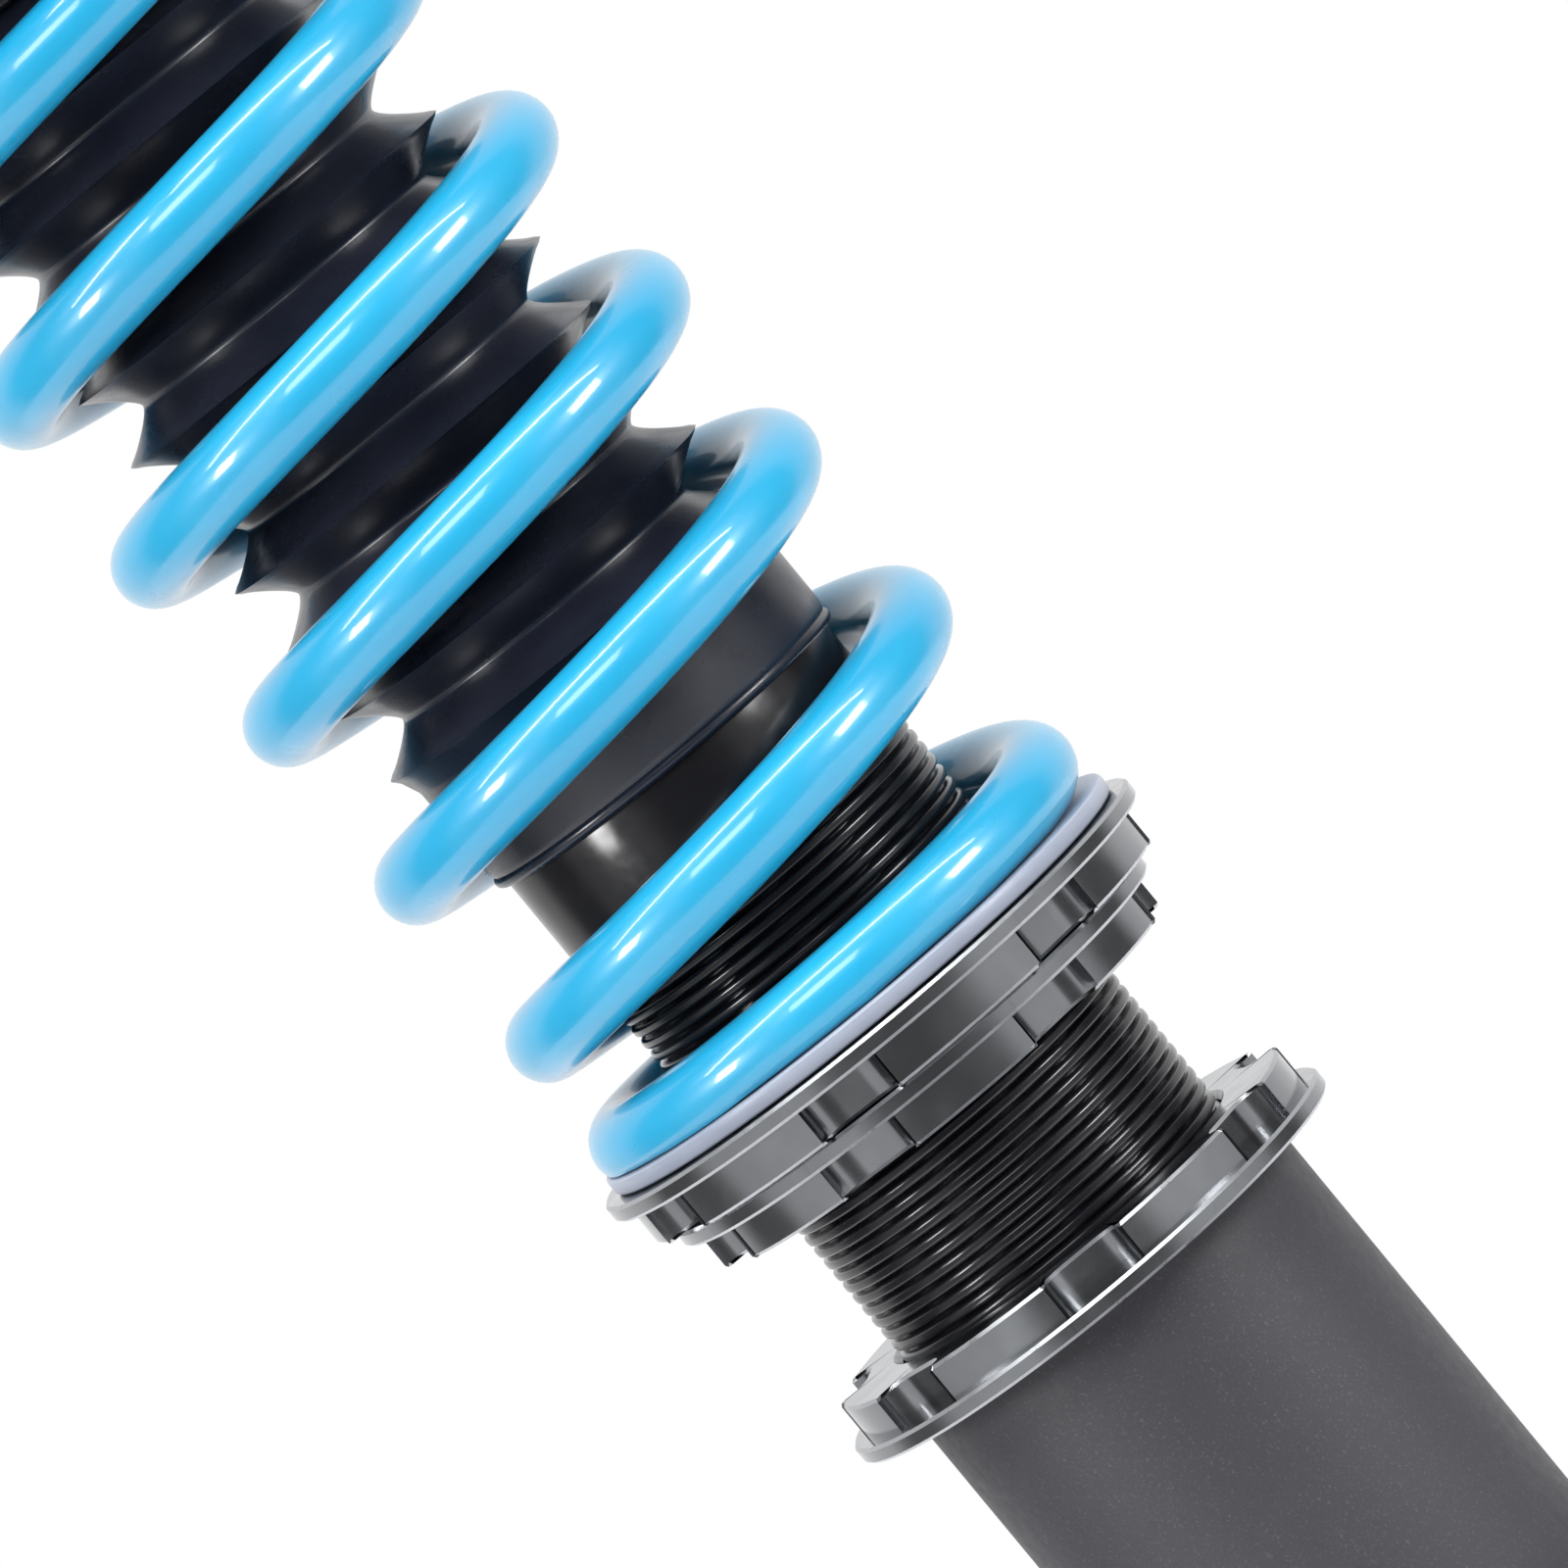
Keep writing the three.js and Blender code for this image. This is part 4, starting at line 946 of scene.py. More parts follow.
def notched_outline(radius, first_notch):
    """One seventh of the rim: half a notch floor, its round corner, its wall, its lip, and the
    rim's arc up to the next notch; mirrored about the notch's middle and repeated seven times."""
    half = NOTCH_WIDTH / 2
    floor = radius - NOTCH_DEPTH
    corner_x = floor + NOTCH_CORNER
    corner_y = half - NOTCH_CORNER
    lip_angle = np.arcsin(half / radius)
    floor_y = np.linspace(0, corner_y, 6, endpoint=False)
    floor_part = np.column_stack([np.full_like(floor_y, floor), floor_y])
    corner_part = arc((corner_x, corner_y), NOTCH_CORNER, 180, 90, 9)
    wall_end = radius * np.cos(lip_angle)
    wall_part = np.array([[wall_end - 0.35 * MM, half]])
    half_sector = np.pi / NOTCHES
    rim_part = arc((0, 0), radius, np.degrees(lip_angle + 0.004), np.degrees(half_sector), 34)
    upper = np.concatenate([floor_part, corner_part, wall_part, rim_part])
    lower = upper[::-1][:-1] * np.array([1, -1])
    sector = np.concatenate([lower[1:], upper])
    angles = first_notch + np.arange(NOTCHES) * FULL_TURN / NOTCHES
    cos = np.cos(angles)[:, None]
    sin = np.sin(angles)[:, None]
    x = cos * sector[:, 0] - sin * sector[:, 1]
    y = sin * sector[:, 0] + cos * sector[:, 1]
    return np.column_stack([x.ravel(), y.ravel()])


def circle_like(outline, radius):
    """A circle with one point at the angle of each point of the outline."""
    angle = np.arctan2(outline[:, 1], outline[:, 0])
    return radius * np.column_stack([np.cos(angle), np.sin(angle)])


# %% Ring from its outline
def castellated(name, tier, flange, bottom, top, first_notch, flange_up):
    """Loops of equal count at rising heights, made flange down; turned over by mirroring the
    heights when the flange is up."""
    height = top - bottom
    outline = notched_outline(tier, first_notch)
    inset = outline - outline_normals(outline) * RING_CHAMFER
    loops = [
        (circle_like(outline, RING_BORE + BORE_CHAMFER), 0),
        (circle_like(outline, flange - RING_CHAMFER), 0),
        (circle_like(outline, flange), RING_CHAMFER),
        (circle_like(outline, flange), FLANGE_THICKNESS - RING_CHAMFER),
        (circle_like(outline, flange - RING_CHAMFER), FLANGE_THICKNESS),
        (outline, FLANGE_THICKNESS),
        (outline, height - RING_CHAMFER),
        (inset, height),
        (circle_like(outline, RING_BORE + BORE_CHAMFER), height),
        (circle_like(outline, RING_BORE), height - BORE_CHAMFER),
        (circle_like(outline, RING_BORE), BORE_CHAMFER),
    ]
    grid = np.stack([np.column_stack([xy, np.full(len(xy), z)]) for xy, z in loops])
    if flange_up:
        grid[..., 2] = height - grid[..., 2]
    grid[..., 2] += bottom
    quads = grid_quads(len(loops), len(outline), True, True)
    piece = new_piece(name, grid.reshape(-1, 3), [quads], 28)
    bright_rows = {1, 3, 6, 8, 10}
    row_of_face = np.repeat(np.arange(len(loops)), len(outline))
    finish_of_face = np.isin(row_of_face, list(bright_rows)).astype(np.int32)
    return piece, finish_of_face


# %% Rings and seat
FRONT = -np.pi / 2
LOCK_TIER = 37.1 * MM
LOCK_FLANGE = 39.5 * MM
SEAT_TIER = 42.05 * MM
SEAT_FLANGE = 44.5 * MM
RINGS = [
    ("lock_ring_foot", "lower_lock_ring", LOCK_TIER, LOCK_FLANGE, 0, False),
    ("lock_ring_seat", "seat_lock_collar", LOCK_TIER, LOCK_FLANGE, -21, True),
    ("seat_castellated", "spring_seat", SEAT_TIER, SEAT_FLANGE, -14, True),
]
for name, node, tier, flange, degrees, flange_up in RINGS:
    first = FRONT + np.radians(degrees)
    ring, edge_finish = castellated(name, tier, flange, low(node), high(node), first, flange_up)
    settle(ring, node, [SMOKY, BRIGHT_EDGE])
    ring.data.polygons.foreach_set("material_index", edge_finish)
    print(name, len(ring.data.polygons), "faces")

# %% [markdown]
# ## Washers
#
# A slippery plastic washer sits at each end of the spring, so that the spring can turn
# without scoring the seat. Its rim is fully rounded.


# %% Washers
WASHER_BORE = 30.7 * MM


def ring_section(inner, rim, bottom, top):
    """The four corners of a plain ring's section."""
    return [(inner, bottom), (rim, bottom), (rim, top), (inner, top)]


for name, node in [
    ("washer_below_spring", "lower_spring_washer"),
    ("washer_above_spring", "upper_spring_washer"),
]:
    section = ring_section(WASHER_BORE, reach(node), low(node), high(node))
    settle(lathe(name, section, edge=0.7 * MM), node, [MILKY])
print("washers made")

# %% [markdown]
# ## The foot's tube
#
# A plain steel tube takes the threaded body. Its upper rim has a small chamfer under the ring,
# and it is powder-coated with the bracket.

# %% Tube and plug
tube_section = ring_section(
    RING_BORE, reach("knuckle_tube"), low("knuckle_tube"), high("knuckle_tube")
)
settle(lathe("foot_tube", tube_section, edge=0.6 * MM), "knuckle_tube", [CHARCOAL])
PLUG_DISH = 1.2 * MM
plug_profile = [
    (0, low("tube_end_plug") + PLUG_DISH),
    (19 * MM, low("tube_end_plug") + PLUG_DISH),
    (21 * MM, low("tube_end_plug")),
    (BODY_RADIUS, low("tube_end_plug")),
    (BODY_RADIUS, high("tube_end_plug")),
    (0, high("tube_end_plug")),
]
settle(lathe("foot_plug", plug_profile, edge=0.5 * MM), "tube_end_plug", [CHARCOAL])
print("tube and plug made")

# %% [markdown]
# ## Sizes read from the plain nodes
#
# The pieces beyond the spring and rings are mostly turned too. Their bores are read from the
# plain nodes themselves: the least distance from the axis among the node's points.

# %% Bores
def node_points(node):
    """Every point of a node, in the frame's own place."""
    thing = frame["nodes"][node]
    flat = np.empty(len(thing.data.vertices) * 3, np.float32)
    thing.data.vertices.foreach_get("co", flat)
    turn = np.array(thing.matrix_world)
    return flat.reshape(-1, 3) @ turn[:3, :3].T + turn[:3, 3]


def bore(node):
    """The least distance of a node's points from the strut's axis."""
    points = node_points(node)
    return float(np.hypot(points[:, 0], points[:, 1]).min())


def plain_ring(node):
    """A turned ring with eased edges, from a node's own bore, rim and faces."""
    section = ring_section(bore(node), reach(node), low(node), high(node))
    return settle(lathe(node + "_turned", section, 0.25 * MM), node)


RING_NODES = [
    "thrust_race_upper", "thrust_race_lower", "thrust_needle_cage", "rod_collar", "rod_guide",
    "rod_seal", "piston_band", "compression_valve_stack", "rebound_valve_stack", "rebound_stop",
    "gas_piston_ring",
]
for node in RING_NODES:
    plain_ring(node)
print(len(RING_NODES), "plain rings turned")

# %% [markdown]
# ## The upper spring seat and the bearing stack
#
# The spring pushes up into a turned seat, whose sleeve centres the spring and holds the boot.
# A thin needle bearing lies on it, then a cone that leads the load into a spherical bearing.

# %% Upper seat and stack
SEAT_LOW = low("upper_spring_seat")
SEAT_HIGH = high("upper_spring_seat")
SEAT_UNDER = high("upper_spring_washer") + 0.2 * MM
SLEEVE = 30.4 * MM
SLEEVE_BORE = 26.2 * MM
seat_rim = reach("upper_spring_seat")
seat_bore = bore("upper_spring_seat")
upper_seat_profile = [
    (seat_bore, SEAT_UNDER),
    (SLEEVE_BORE, SEAT_UNDER),
    (SLEEVE_BORE, SEAT_LOW),
    (SLEEVE - 1.2 * MM, SEAT_LOW),
    (SLEEVE, SEAT_LOW + 1.2 * MM),
    (SLEEVE, SEAT_UNDER),
    (seat_rim, SEAT_UNDER),
    (seat_rim, SEAT_HIGH - 1 * MM),
    (seat_rim - 1 * MM, SEAT_HIGH),
    (seat_bore, SEAT_HIGH),
]
upper_seat = lathe("seat_upper_turned", upper_seat_profile)
settle(upper_seat, "upper_spring_seat")

# %% Cone, ball and race
spacer_low, spacer_high = low("ball_spacer"), high("ball_spacer")
spacer_profile = [
    (bore("ball_spacer"), spacer_low),
    (reach("ball_spacer"), spacer_low),
    (reach("ball_spacer"), spacer_low + 2.5 * MM),
    (16 * MM, spacer_low + 2.5 * MM),
    (9.5 * MM, spacer_high),
    (bore("ball_spacer"), spacer_high),
]
settle(lathe("spacer_cone", spacer_profile, 0.4 * MM), "ball_spacer")

BALL_RADIUS = reach("pillow_ball")
ball_middle = (low("pillow_ball") + high("pillow_ball")) / 2
ball_half = (high("pillow_ball") - low("pillow_ball")) / 2
tilt = np.linspace(-np.arcsin(ball_half / BALL_RADIUS), np.arcsin(ball_half / BALL_RADIUS), 33)
ball_curve = np.column_stack([BALL_RADIUS * np.cos(tilt), ball_middle + BALL_RADIUS * np.sin(tilt)])
ball_bore = bore("pillow_ball")
ball_profile = [(ball_bore, low("pillow_ball")), *ball_curve, (ball_bore, high("pillow_ball"))]
settle(lathe("ball_turned", ball_profile, 0.2 * MM), "pillow_ball")

race_half = (high("ball_race") - low("ball_race")) / 2
HOLLOW = BALL_RADIUS + 0.3 * MM
tilt = np.linspace(np.arcsin(race_half / HOLLOW), -np.arcsin(race_half / HOLLOW), 25)
hollow_curve = np.column_stack([HOLLOW * np.cos(tilt), ball_middle + HOLLOW * np.sin(tilt)])
race_rim = reach("ball_race")
race_profile = [(race_rim, low("ball_race")), (race_rim, high("ball_race")), *hollow_curve]
settle(lathe("race_turned", race_profile, 0.2 * MM), "ball_race")
print("ball and race turned, ball", round(2000 * BALL_RADIUS, 2), "mm wide")

# %% [markdown]
# ## Bump stop and cup
#
# The bump stop is microcellular foam, moulded with waists so that it folds up evenly. It sits
# in a pressed cup under the upper seat.

# %% Bump stop
stop_low, stop_high = low("bump_stop"), high("bump_stop")
stop_length = stop_high - stop_low
stop_height = np.linspace(0, 1, 97)
lobes = np.abs(np.sin(3 * np.pi * stop_height)) ** 0.7
narrowing = np.clip(stop_height / 0.12, 0, 1) ** 0.5
stop_radius = 18 * MM + (3 * MM * lobes - 2 * MM * (1 - narrowing))
straight = stop_height > 0.86
stop_radius[straight] = 21 * MM
stop_curve = np.column_stack([stop_radius, stop_low + stop_length * stop_height])
stop_bore = bore("bump_stop")
stop_profile = [(stop_bore, stop_low), *stop_curve, (stop_bore, stop_high)]
bump_stop = lathe("bump_stop_foam", stop_profile, 0.3 * MM, columns=96)
settle(bump_stop, "bump_stop", [BUMP_FOAM])
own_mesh(bump_stop)
print("bump stop", round(1000 * stop_length, 1), "mm long")

# %% Bump stop's cup
CUP_SHEET = 1.5 * MM
cup_low, cup_high, cup_rim = low("bump_stop_cup"), high("bump_stop_cup"), reach("bump_stop_cup")
cup_profile = [
    (bore("bump_stop_cup"), cup_high - CUP_SHEET),
    (cup_rim - CUP_SHEET, cup_high - CUP_SHEET),
    (cup_rim - CUP_SHEET, cup_low),
    (cup_rim, cup_low),
    (cup_rim, cup_high),
    (bore("bump_stop_cup"), cup_high),
]
settle(lathe("bump_cup_pressed", cup_profile, 0.6 * MM), "bump_stop_cup")
print("bump stop's cup made")

# %% [markdown]
# ## Threads, nuts and screws
#
# A threaded bar is the body's thread at another size. A nut is a hexagon whose corners are
# turned off by a cone: at each corner point the chamfer is as high as the point lies outside
# the cone's circle. A cap screw is turned, with a six-sided socket sunk into its head.


# %% Fasteners
BAR_ROWS_PER_PITCH = 8


def threaded_bar(radius, depth, pitch, bottom, top, columns=40):
    """Points of a threaded bar: radius - depth (1 - |sin(pi p)|^0.8), faded over its last turn."""
    height = np.linspace(bottom, top, int((top - bottom) / pitch * BAR_ROWS_PER_PITCH))
    angle = np.arange(columns) * FULL_TURN / columns
    phase = height[:, None] / pitch - angle[None, :] / FULL_TURN
    fade = np.clip(np.minimum(height - bottom, top - height) / pitch, 0, 1)[:, None]
    r = radius - depth * fade * (1 - np.abs(np.sin(np.pi * phase)) ** 0.8)
    z = np.broadcast_to(height[:, None], r.shape)
    return np.stack([r * np.cos(angle), r * np.sin(angle), z], -1)


def dense(outline, steps=8):
    """The same outline with extra points along each side."""
    corner = np.asarray(outline, float)
    share = (np.arange(steps) / steps)[None, :, None]
    along = corner[:, None] + (np.roll(corner, -1, 0) - corner)[:, None] * share
    return along.reshape(-1, 2)


def stack(name, loops, place=(0, 0), poles=False):
    """Joins loops of equal count, each an outline at a height or at a height per point."""
    rows = [np.column_stack([xy, np.broadcast_to(z, len(xy))]) for xy, z in loops]
    grid = np.stack(rows) + np.array([*place, 0.0])
    piece = new_piece(name, grid.reshape(-1, 3), [grid_quads(len(rows), len(rows[0]), True, True)])
    if poles:
        close_poles(piece)
    return piece


def hexagon_nut(name, across, inner, bottom, top, place=(0, 0), flange=None, flange_height=0):
    """A nut: hexagon, cone-turned corners at the top (and at the bottom without a flange)."""
    outline = dense(hexagon(across))
    crown = across / 2 * 0.97
    rise = (np.linalg.norm(outline, axis=1) - crown) * np.tan(np.radians(30))
    inside = 0.5 * MM
    loops = [(circle_like(outline, inner + inside), bottom)]
    if flange:
        loops += [
            (circle_like(outline, flange - 0.2 * MM), bottom),
            (circle_like(outline, flange), bottom + 0.2 * MM),
            (circle_like(outline, flange), bottom + 0.5 * flange_height),
            (outline, bottom + flange_height),
        ]
    else:
        loops += [(circle_like(outline, crown), bottom), (outline, bottom + rise)]
    loops += [
        (outline, top - rise),
        (circle_like(outline, crown), top),
        (circle_like(outline, inner + inside), top),
        (circle_like(outline, inner), top - inside),
        (circle_like(outline, inner), bottom + inside),
    ]
    return stack(name, loops, place)


def centre_of(node):
    """The middle of a node's box, seen from above."""
    bottom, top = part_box(node)
    return ((bottom.x + top.x) / 2, (bottom.y + top.y) / 2)


# %% Studs and nuts
STUD_RADIUS = 4 * MM
STUD_HOLE = 4.3 * MM
STUD_HEAD = 7.5 * MM
STUD_HEAD_TOP = -8.2 * MM
ROD_NUT_FLATS = 22 * MM
STUD_NUT_FLATS = 13 * MM
STUD_NUT_FLANGE = 8.8 * MM
STUD_NUT_FLANGE_HEIGHT = 1.6 * MM

nut_bore = bore("rod_top_nut")
rod_nut = hexagon_nut("rod_nut_hex", ROD_NUT_FLATS, nut_bore, low("rod_top_nut"), high("rod_top_nut"))
settle(rod_nut, "rod_top_nut")
for k in (1, 2, 3):
    stud_node, nut_node = f"plate_stud_{k}", f"stud_nut_{k}"
    spot = centre_of(stud_node)
    bar = threaded_bar(STUD_RADIUS, 0.6 * MM, 1.25 * MM, 0.5 * MM, high(stud_node) - 0.8 * MM)
    columns = bar.shape[1]
    head_low = low(stud_node)
    lower_rings = [
        (POLE, head_low),
        (STUD_HEAD - 0.4 * MM, head_low),
        (STUD_HEAD, head_low + 0.4 * MM),
        (STUD_HEAD, STUD_HEAD_TOP - 0.3 * MM),
        (STUD_HEAD - 0.3 * MM, STUD_HEAD_TOP),
        (STUD_RADIUS, STUD_HEAD_TOP),
    ]
    upper_rings = [(STUD_RADIUS - 0.8 * MM, high(stud_node)), (POLE, high(stud_node))]
    grid = np.concatenate([turned_grid(lower_rings, columns), bar, turned_grid(upper_rings, columns)])
    points = grid.reshape(-1, 3) + np.array([*spot, 0.0])
    stud = new_piece(f"stud_threaded_{k}", points, [grid_quads(len(grid), columns, False, True)], 60)
    close_poles(stud)
    settle(stud, stud_node)
    nut = hexagon_nut(
        f"nut_flanged_{k}",
        STUD_NUT_FLATS,
        STUD_HOLE,
        low(nut_node),
        high(nut_node),
        spot,
        STUD_NUT_FLANGE,
        STUD_NUT_FLANGE_HEIGHT,
    )
    settle(nut, nut_node)
print("rod nut, studs and their nuts made")

# %% Cap screws
SCREW_RADIUS = 3 * MM
SCREW_HEAD = 5 * MM
SCREW_SOCKET_FLATS = 5 * MM
HEAD_LIFT = 0.2 * MM

for k in (1, 2, 3, 4):
    node = f"slider_bolt_{k}"
    socket = dense(hexagon(SCREW_SOCKET_FLATS), 6)
    top, bottom = high(node), low(node)
    loops = [
        (circle_like(socket, POLE), bottom),
        (circle_like(socket, SCREW_RADIUS - 0.4 * MM), bottom),
        (circle_like(socket, SCREW_RADIUS), bottom + 0.4 * MM),
        (circle_like(socket, SCREW_RADIUS), HEAD_LIFT),
        (circle_like(socket, SCREW_HEAD - 0.15 * MM), HEAD_LIFT),
        (circle_like(socket, SCREW_HEAD), HEAD_LIFT + 0.15 * MM),
        (circle_like(socket, SCREW_HEAD), top - 0.6 * MM),
        (circle_like(socket, SCREW_HEAD - 0.6 * MM), top),
        (socket * 1.06, top),
        (socket, top - 0.2 * MM),
        (socket, top - 3 * MM),
        (circle_like(socket, POLE), top - 3.6 * MM),
    ]
    screw = stack(f"cap_screw_{k}", loops[::-1], centre_of(node), poles=True)
    settle(screw, node)
print("cap screws made")

# %% [markdown]
# ## Piston rod and adjuster
#
# The rod is ground steel with a hard chrome skin. Its top is threaded for the nut and hollow,
# so that the adjuster's stem passes through. The knob is knurled: its radius rises and falls
# thirty times round.

# %% Rod
rod_high, rod_low, rod_radius = high("piston_rod"), low("piston_rod"), reach("piston_rod")
rod_bore = bore("piston_rod")
shoulder = high("thrust_race_upper")
TAIL_LENGTH = 40 * MM
TAIL_RADIUS = 6 * MM
ROD_NECK = 7 * MM
SHOULDER_EDGE = 0.5 * MM
tail_top = rod_low + TAIL_LENGTH
rod_thread = threaded_bar(
    ROD_NECK, 0.8 * MM, 1.5 * MM, high("pillow_ball"), rod_high - 0.8 * MM, 64
)
columns = rod_thread.shape[1]
below = [
    (rod_bore, rod_low),
    (TAIL_RADIUS - 0.4 * MM, rod_low),
    (TAIL_RADIUS, rod_low + 0.4 * MM),
    (TAIL_RADIUS, tail_top),
    (rod_radius - SHOULDER_EDGE, tail_top),
    (rod_radius, tail_top + SHOULDER_EDGE),
    (rod_radius, shoulder - SHOULDER_EDGE),
    (rod_radius - SHOULDER_EDGE, shoulder),
    (ROD_NECK, shoulder),
]
above = [(ROD_NECK - 0.8 * MM, rod_high), (rod_bore, rod_high)]
grid = np.concatenate([turned_grid(below, columns), rod_thread, turned_grid(above, columns)])
rod = new_piece(
    "rod_ground", grid.reshape(-1, 3), [grid_quads(len(grid), columns, True, True)], 40
)
settle(rod, "piston_rod")
print("rod", round(1000 * (rod_high - rod_low), 1), "mm long")

# %% Knob
KNOB_BORE = 4 * MM
KNOB_DIMPLE = 0.5 * MM
KNOB_DEPTH = 5.3 * MM
KNOB_COLUMNS = 240
KNURLS = 30
knob_low = low("adjuster_knob")
knob_high = high("adjuster_knob")
knob_radius = reach("adjuster_knob")
knob_profile = [
    (KNOB_BORE, knob_low),
    (knob_radius - 0.4 * MM, knob_low),
    (knob_radius, knob_low + 0.4 * MM),
    (knob_radius, knob_high - 1 * MM),
    (knob_radius - 1 * MM, knob_high),
    (3.2 * MM, knob_high),
    (2.8 * MM, knob_high - KNOB_DIMPLE),
    (POLE, knob_high - KNOB_DIMPLE),
    (POLE, knob_high - KNOB_DEPTH),
    (KNOB_BORE, knob_high - KNOB_DEPTH),
]
knob_grid = turned_grid(knob_profile, KNOB_COLUMNS)
knurl_angle = KNURLS * np.arange(KNOB_COLUMNS) * FULL_TURN / KNOB_COLUMNS
knurl = 1 - 0.03 * (0.5 + 0.5 * np.cos(knurl_angle))
knob_grid[1:5, :, :2] *= knurl[None, :, None]
knob_quads = grid_quads(len(knob_profile), KNOB_COLUMNS, True, True)
knob = new_piece("knob_knurled", knob_grid.reshape(-1, 3), [knob_quads])
close_poles(knob)
settle(knob, "adjuster_knob")
print("knob made,", KNURLS, "knurls")

# %% Gland
GLAND_SPIGOT = 22.7 * MM
gland_low, gland_high, gland_rim = low("gland_nut"), high("gland_nut"), reach("gland_nut")
gland_step = high("threaded_body") + 0.2 * MM
gland_profile = [
    (bore("gland_nut"), gland_low),
    (GLAND_SPIGOT, gland_low),
    (GLAND_SPIGOT, gland_step),
    (gland_rim, gland_step),
    (gland_rim, gland_high),
    (bore("gland_nut"), gland_high),
]
settle(lathe("gland_turned", gland_profile), "gland_nut")
print("gland made")

# %% [markdown]
# ## Top plate
#
# The plate is cut from 8 mm aluminium. Three lobes carry the studs; the middle opening and
# four slots let the slider move sideways to set the wheel's camber.

# %% Plate
LOBE_CENTRE = 60 * MM
LOBE_RADIUS = 16 * MM
lobes = []
for degrees in (0, 120, 240):
    a = np.radians(degrees)
    lobe_centre = (LOBE_CENTRE * np.cos(a), LOBE_CENTRE * np.sin(a))
    lobes.append(arc(lobe_centre, LOBE_RADIUS, degrees - 60, degrees + 60, 24))
plate_holes = [slot_hole((0, 0), 51 * MM, 31 * MM, 28)]
for x in (-19 * MM, 19 * MM):
    for y in (-23 * MM, 23 * MM):
        plate_holes.append(slot_hole((x, y), 27 * MM, 7 * MM))
plate_holes += [round_hole(centre_of(f"plate_stud_{k}"), STUD_HOLE, 40) for k in (1, 2, 3)]
top_plate = plate(
    "plate_machined", np.concatenate(lobes), plate_holes, low("top_plate"), high("top_plate"), 0.6 * MM
)
settle(top_plate, "top_plate")
print("top plate:", len(top_plate.data.polygons), "faces")

# %% [markdown]
# ## The bracket at the foot
#
# The bracket is one strip of 5 mm steel, bent round the back of the tube and closed in to two
# parallel ears for the knuckle. It is swept: a section with eased corners is carried along the
# bend, and the strip's lower and upper edges follow the side view, which narrows at the back
# and is round at the ears' ends. The two bolt holes are cut afterwards.

# %% Bracket shape
WRAP_MIDDLE = 33.6 * MM
SHEET = 5 * MM
EAR_MIDDLE = 21.5 * MM
KNEE = 38 * MM
BOLT_REACH = 54 * MM
EAR_END = 16 * MM
BOLT_HALF_SPREAD = 27.5 * MM
bracket_low, bracket_high = low("knuckle_bracket"), high("knuckle_bracket")
bracket_middle = (bracket_low + bracket_high) / 2
bracket_half = (bracket_high - bracket_low) / 2
WRAP_OUTER = 36.1 * MM
knee_radius = np.hypot(KNEE, EAR_MIDDLE)
wrap_angle = np.arctan2(EAR_MIDDLE, KNEE) + np.arccos(WRAP_MIDDLE / knee_radius)


def bracket_path():
    """Half of the bend from the back to an ear's end, then its mirror: an arc, a straight run
    touching it, and the ear. The knee's corner is rounded."""
    touch = WRAP_MIDDLE * np.array([np.cos(wrap_angle), np.sin(wrap_angle)])
    knee = np.array([KNEE, EAR_MIDDLE])
    slope = (touch - knee) / np.linalg.norm(touch - knee)
    s = np.linspace(0, 1, 7)[:, None]
    start = knee + slope * 3 * MM
    end = knee + np.array([3 * MM, 0])
    bend = (1 - s) ** 2 * start + 2 * s * (1 - s) * knee + s**2 * end
    angle = np.linspace(np.pi, wrap_angle, 49)
    wrap = WRAP_MIDDLE * np.column_stack([np.cos(angle), np.sin(angle)])
    ear_x = BOLT_REACH + EAR_END * np.sin(np.linspace(0, np.pi / 2, 25))
    straight_x = np.linspace(KNEE + 4 * MM, BOLT_REACH - 1 * MM, 6)
    ear_xs = np.concatenate([straight_x, ear_x])
    ear = np.column_stack([ear_xs, np.full(len(ear_xs), EAR_MIDDLE)])
    half = np.concatenate([wrap, bend, ear])
    mirror = half[::-1][:-1] * np.array([1, -1])
    return np.concatenate([mirror, half])


def bracket_reach(x):
    """Half height of the strip at each x: full at the axis, a gentle slope to the bolts, a
    quarter round past them, and a steeper slope down towards the back."""
    back = 16 * MM * np.clip(-x / WRAP_OUTER, 0, 1)
    front = (bracket_half - BOLT_HALF_SPREAD - EAR_END) * np.clip(x / BOLT_REACH, 0, 1)
    past = np.clip((x - BOLT_REACH) / EAR_END, 0, 1)
    round_end = EAR_END * (1 - np.sqrt(1 - past**2))
    return bracket_half - back - front - round_end


# %% Bracket sweep
path = bracket_path()
along = np.gradient(path, axis=0)
along /= np.linalg.norm(along, axis=1, keepdims=True)
across = np.column_stack([along[:, 1], -along[:, 0]])
half_height = bracket_reach(path[:, 0])
eased = 0.7 * MM
half_sheet = SHEET / 2
section = [
    (-half_sheet + eased, -1, 0),
    (half_sheet - eased, -1, 0),
    (half_sheet, -1, eased),
    (half_sheet, 1, -eased),
    (half_sheet - eased, 1, 0),
    (-half_sheet + eased, 1, 0),
    (-half_sheet, 1, -eased),
    (-half_sheet, -1, eased),
]
columns = []
for offset, side, step in section:
    xy = path + across * offset
    columns.append(np.column_stack([xy, bracket_middle + side * half_height + step]))
bracket_grid = np.stack(columns, 1)
ends = [np.arange(8)[::-1], (len(path) - 1) * 8 + np.arange(8)]
bracket = new_piece(
    "bracket_bent",
    bracket_grid.reshape(-1, 3),
    [grid_quads(len(path), 8, False, True), np.stack(ends)],
)


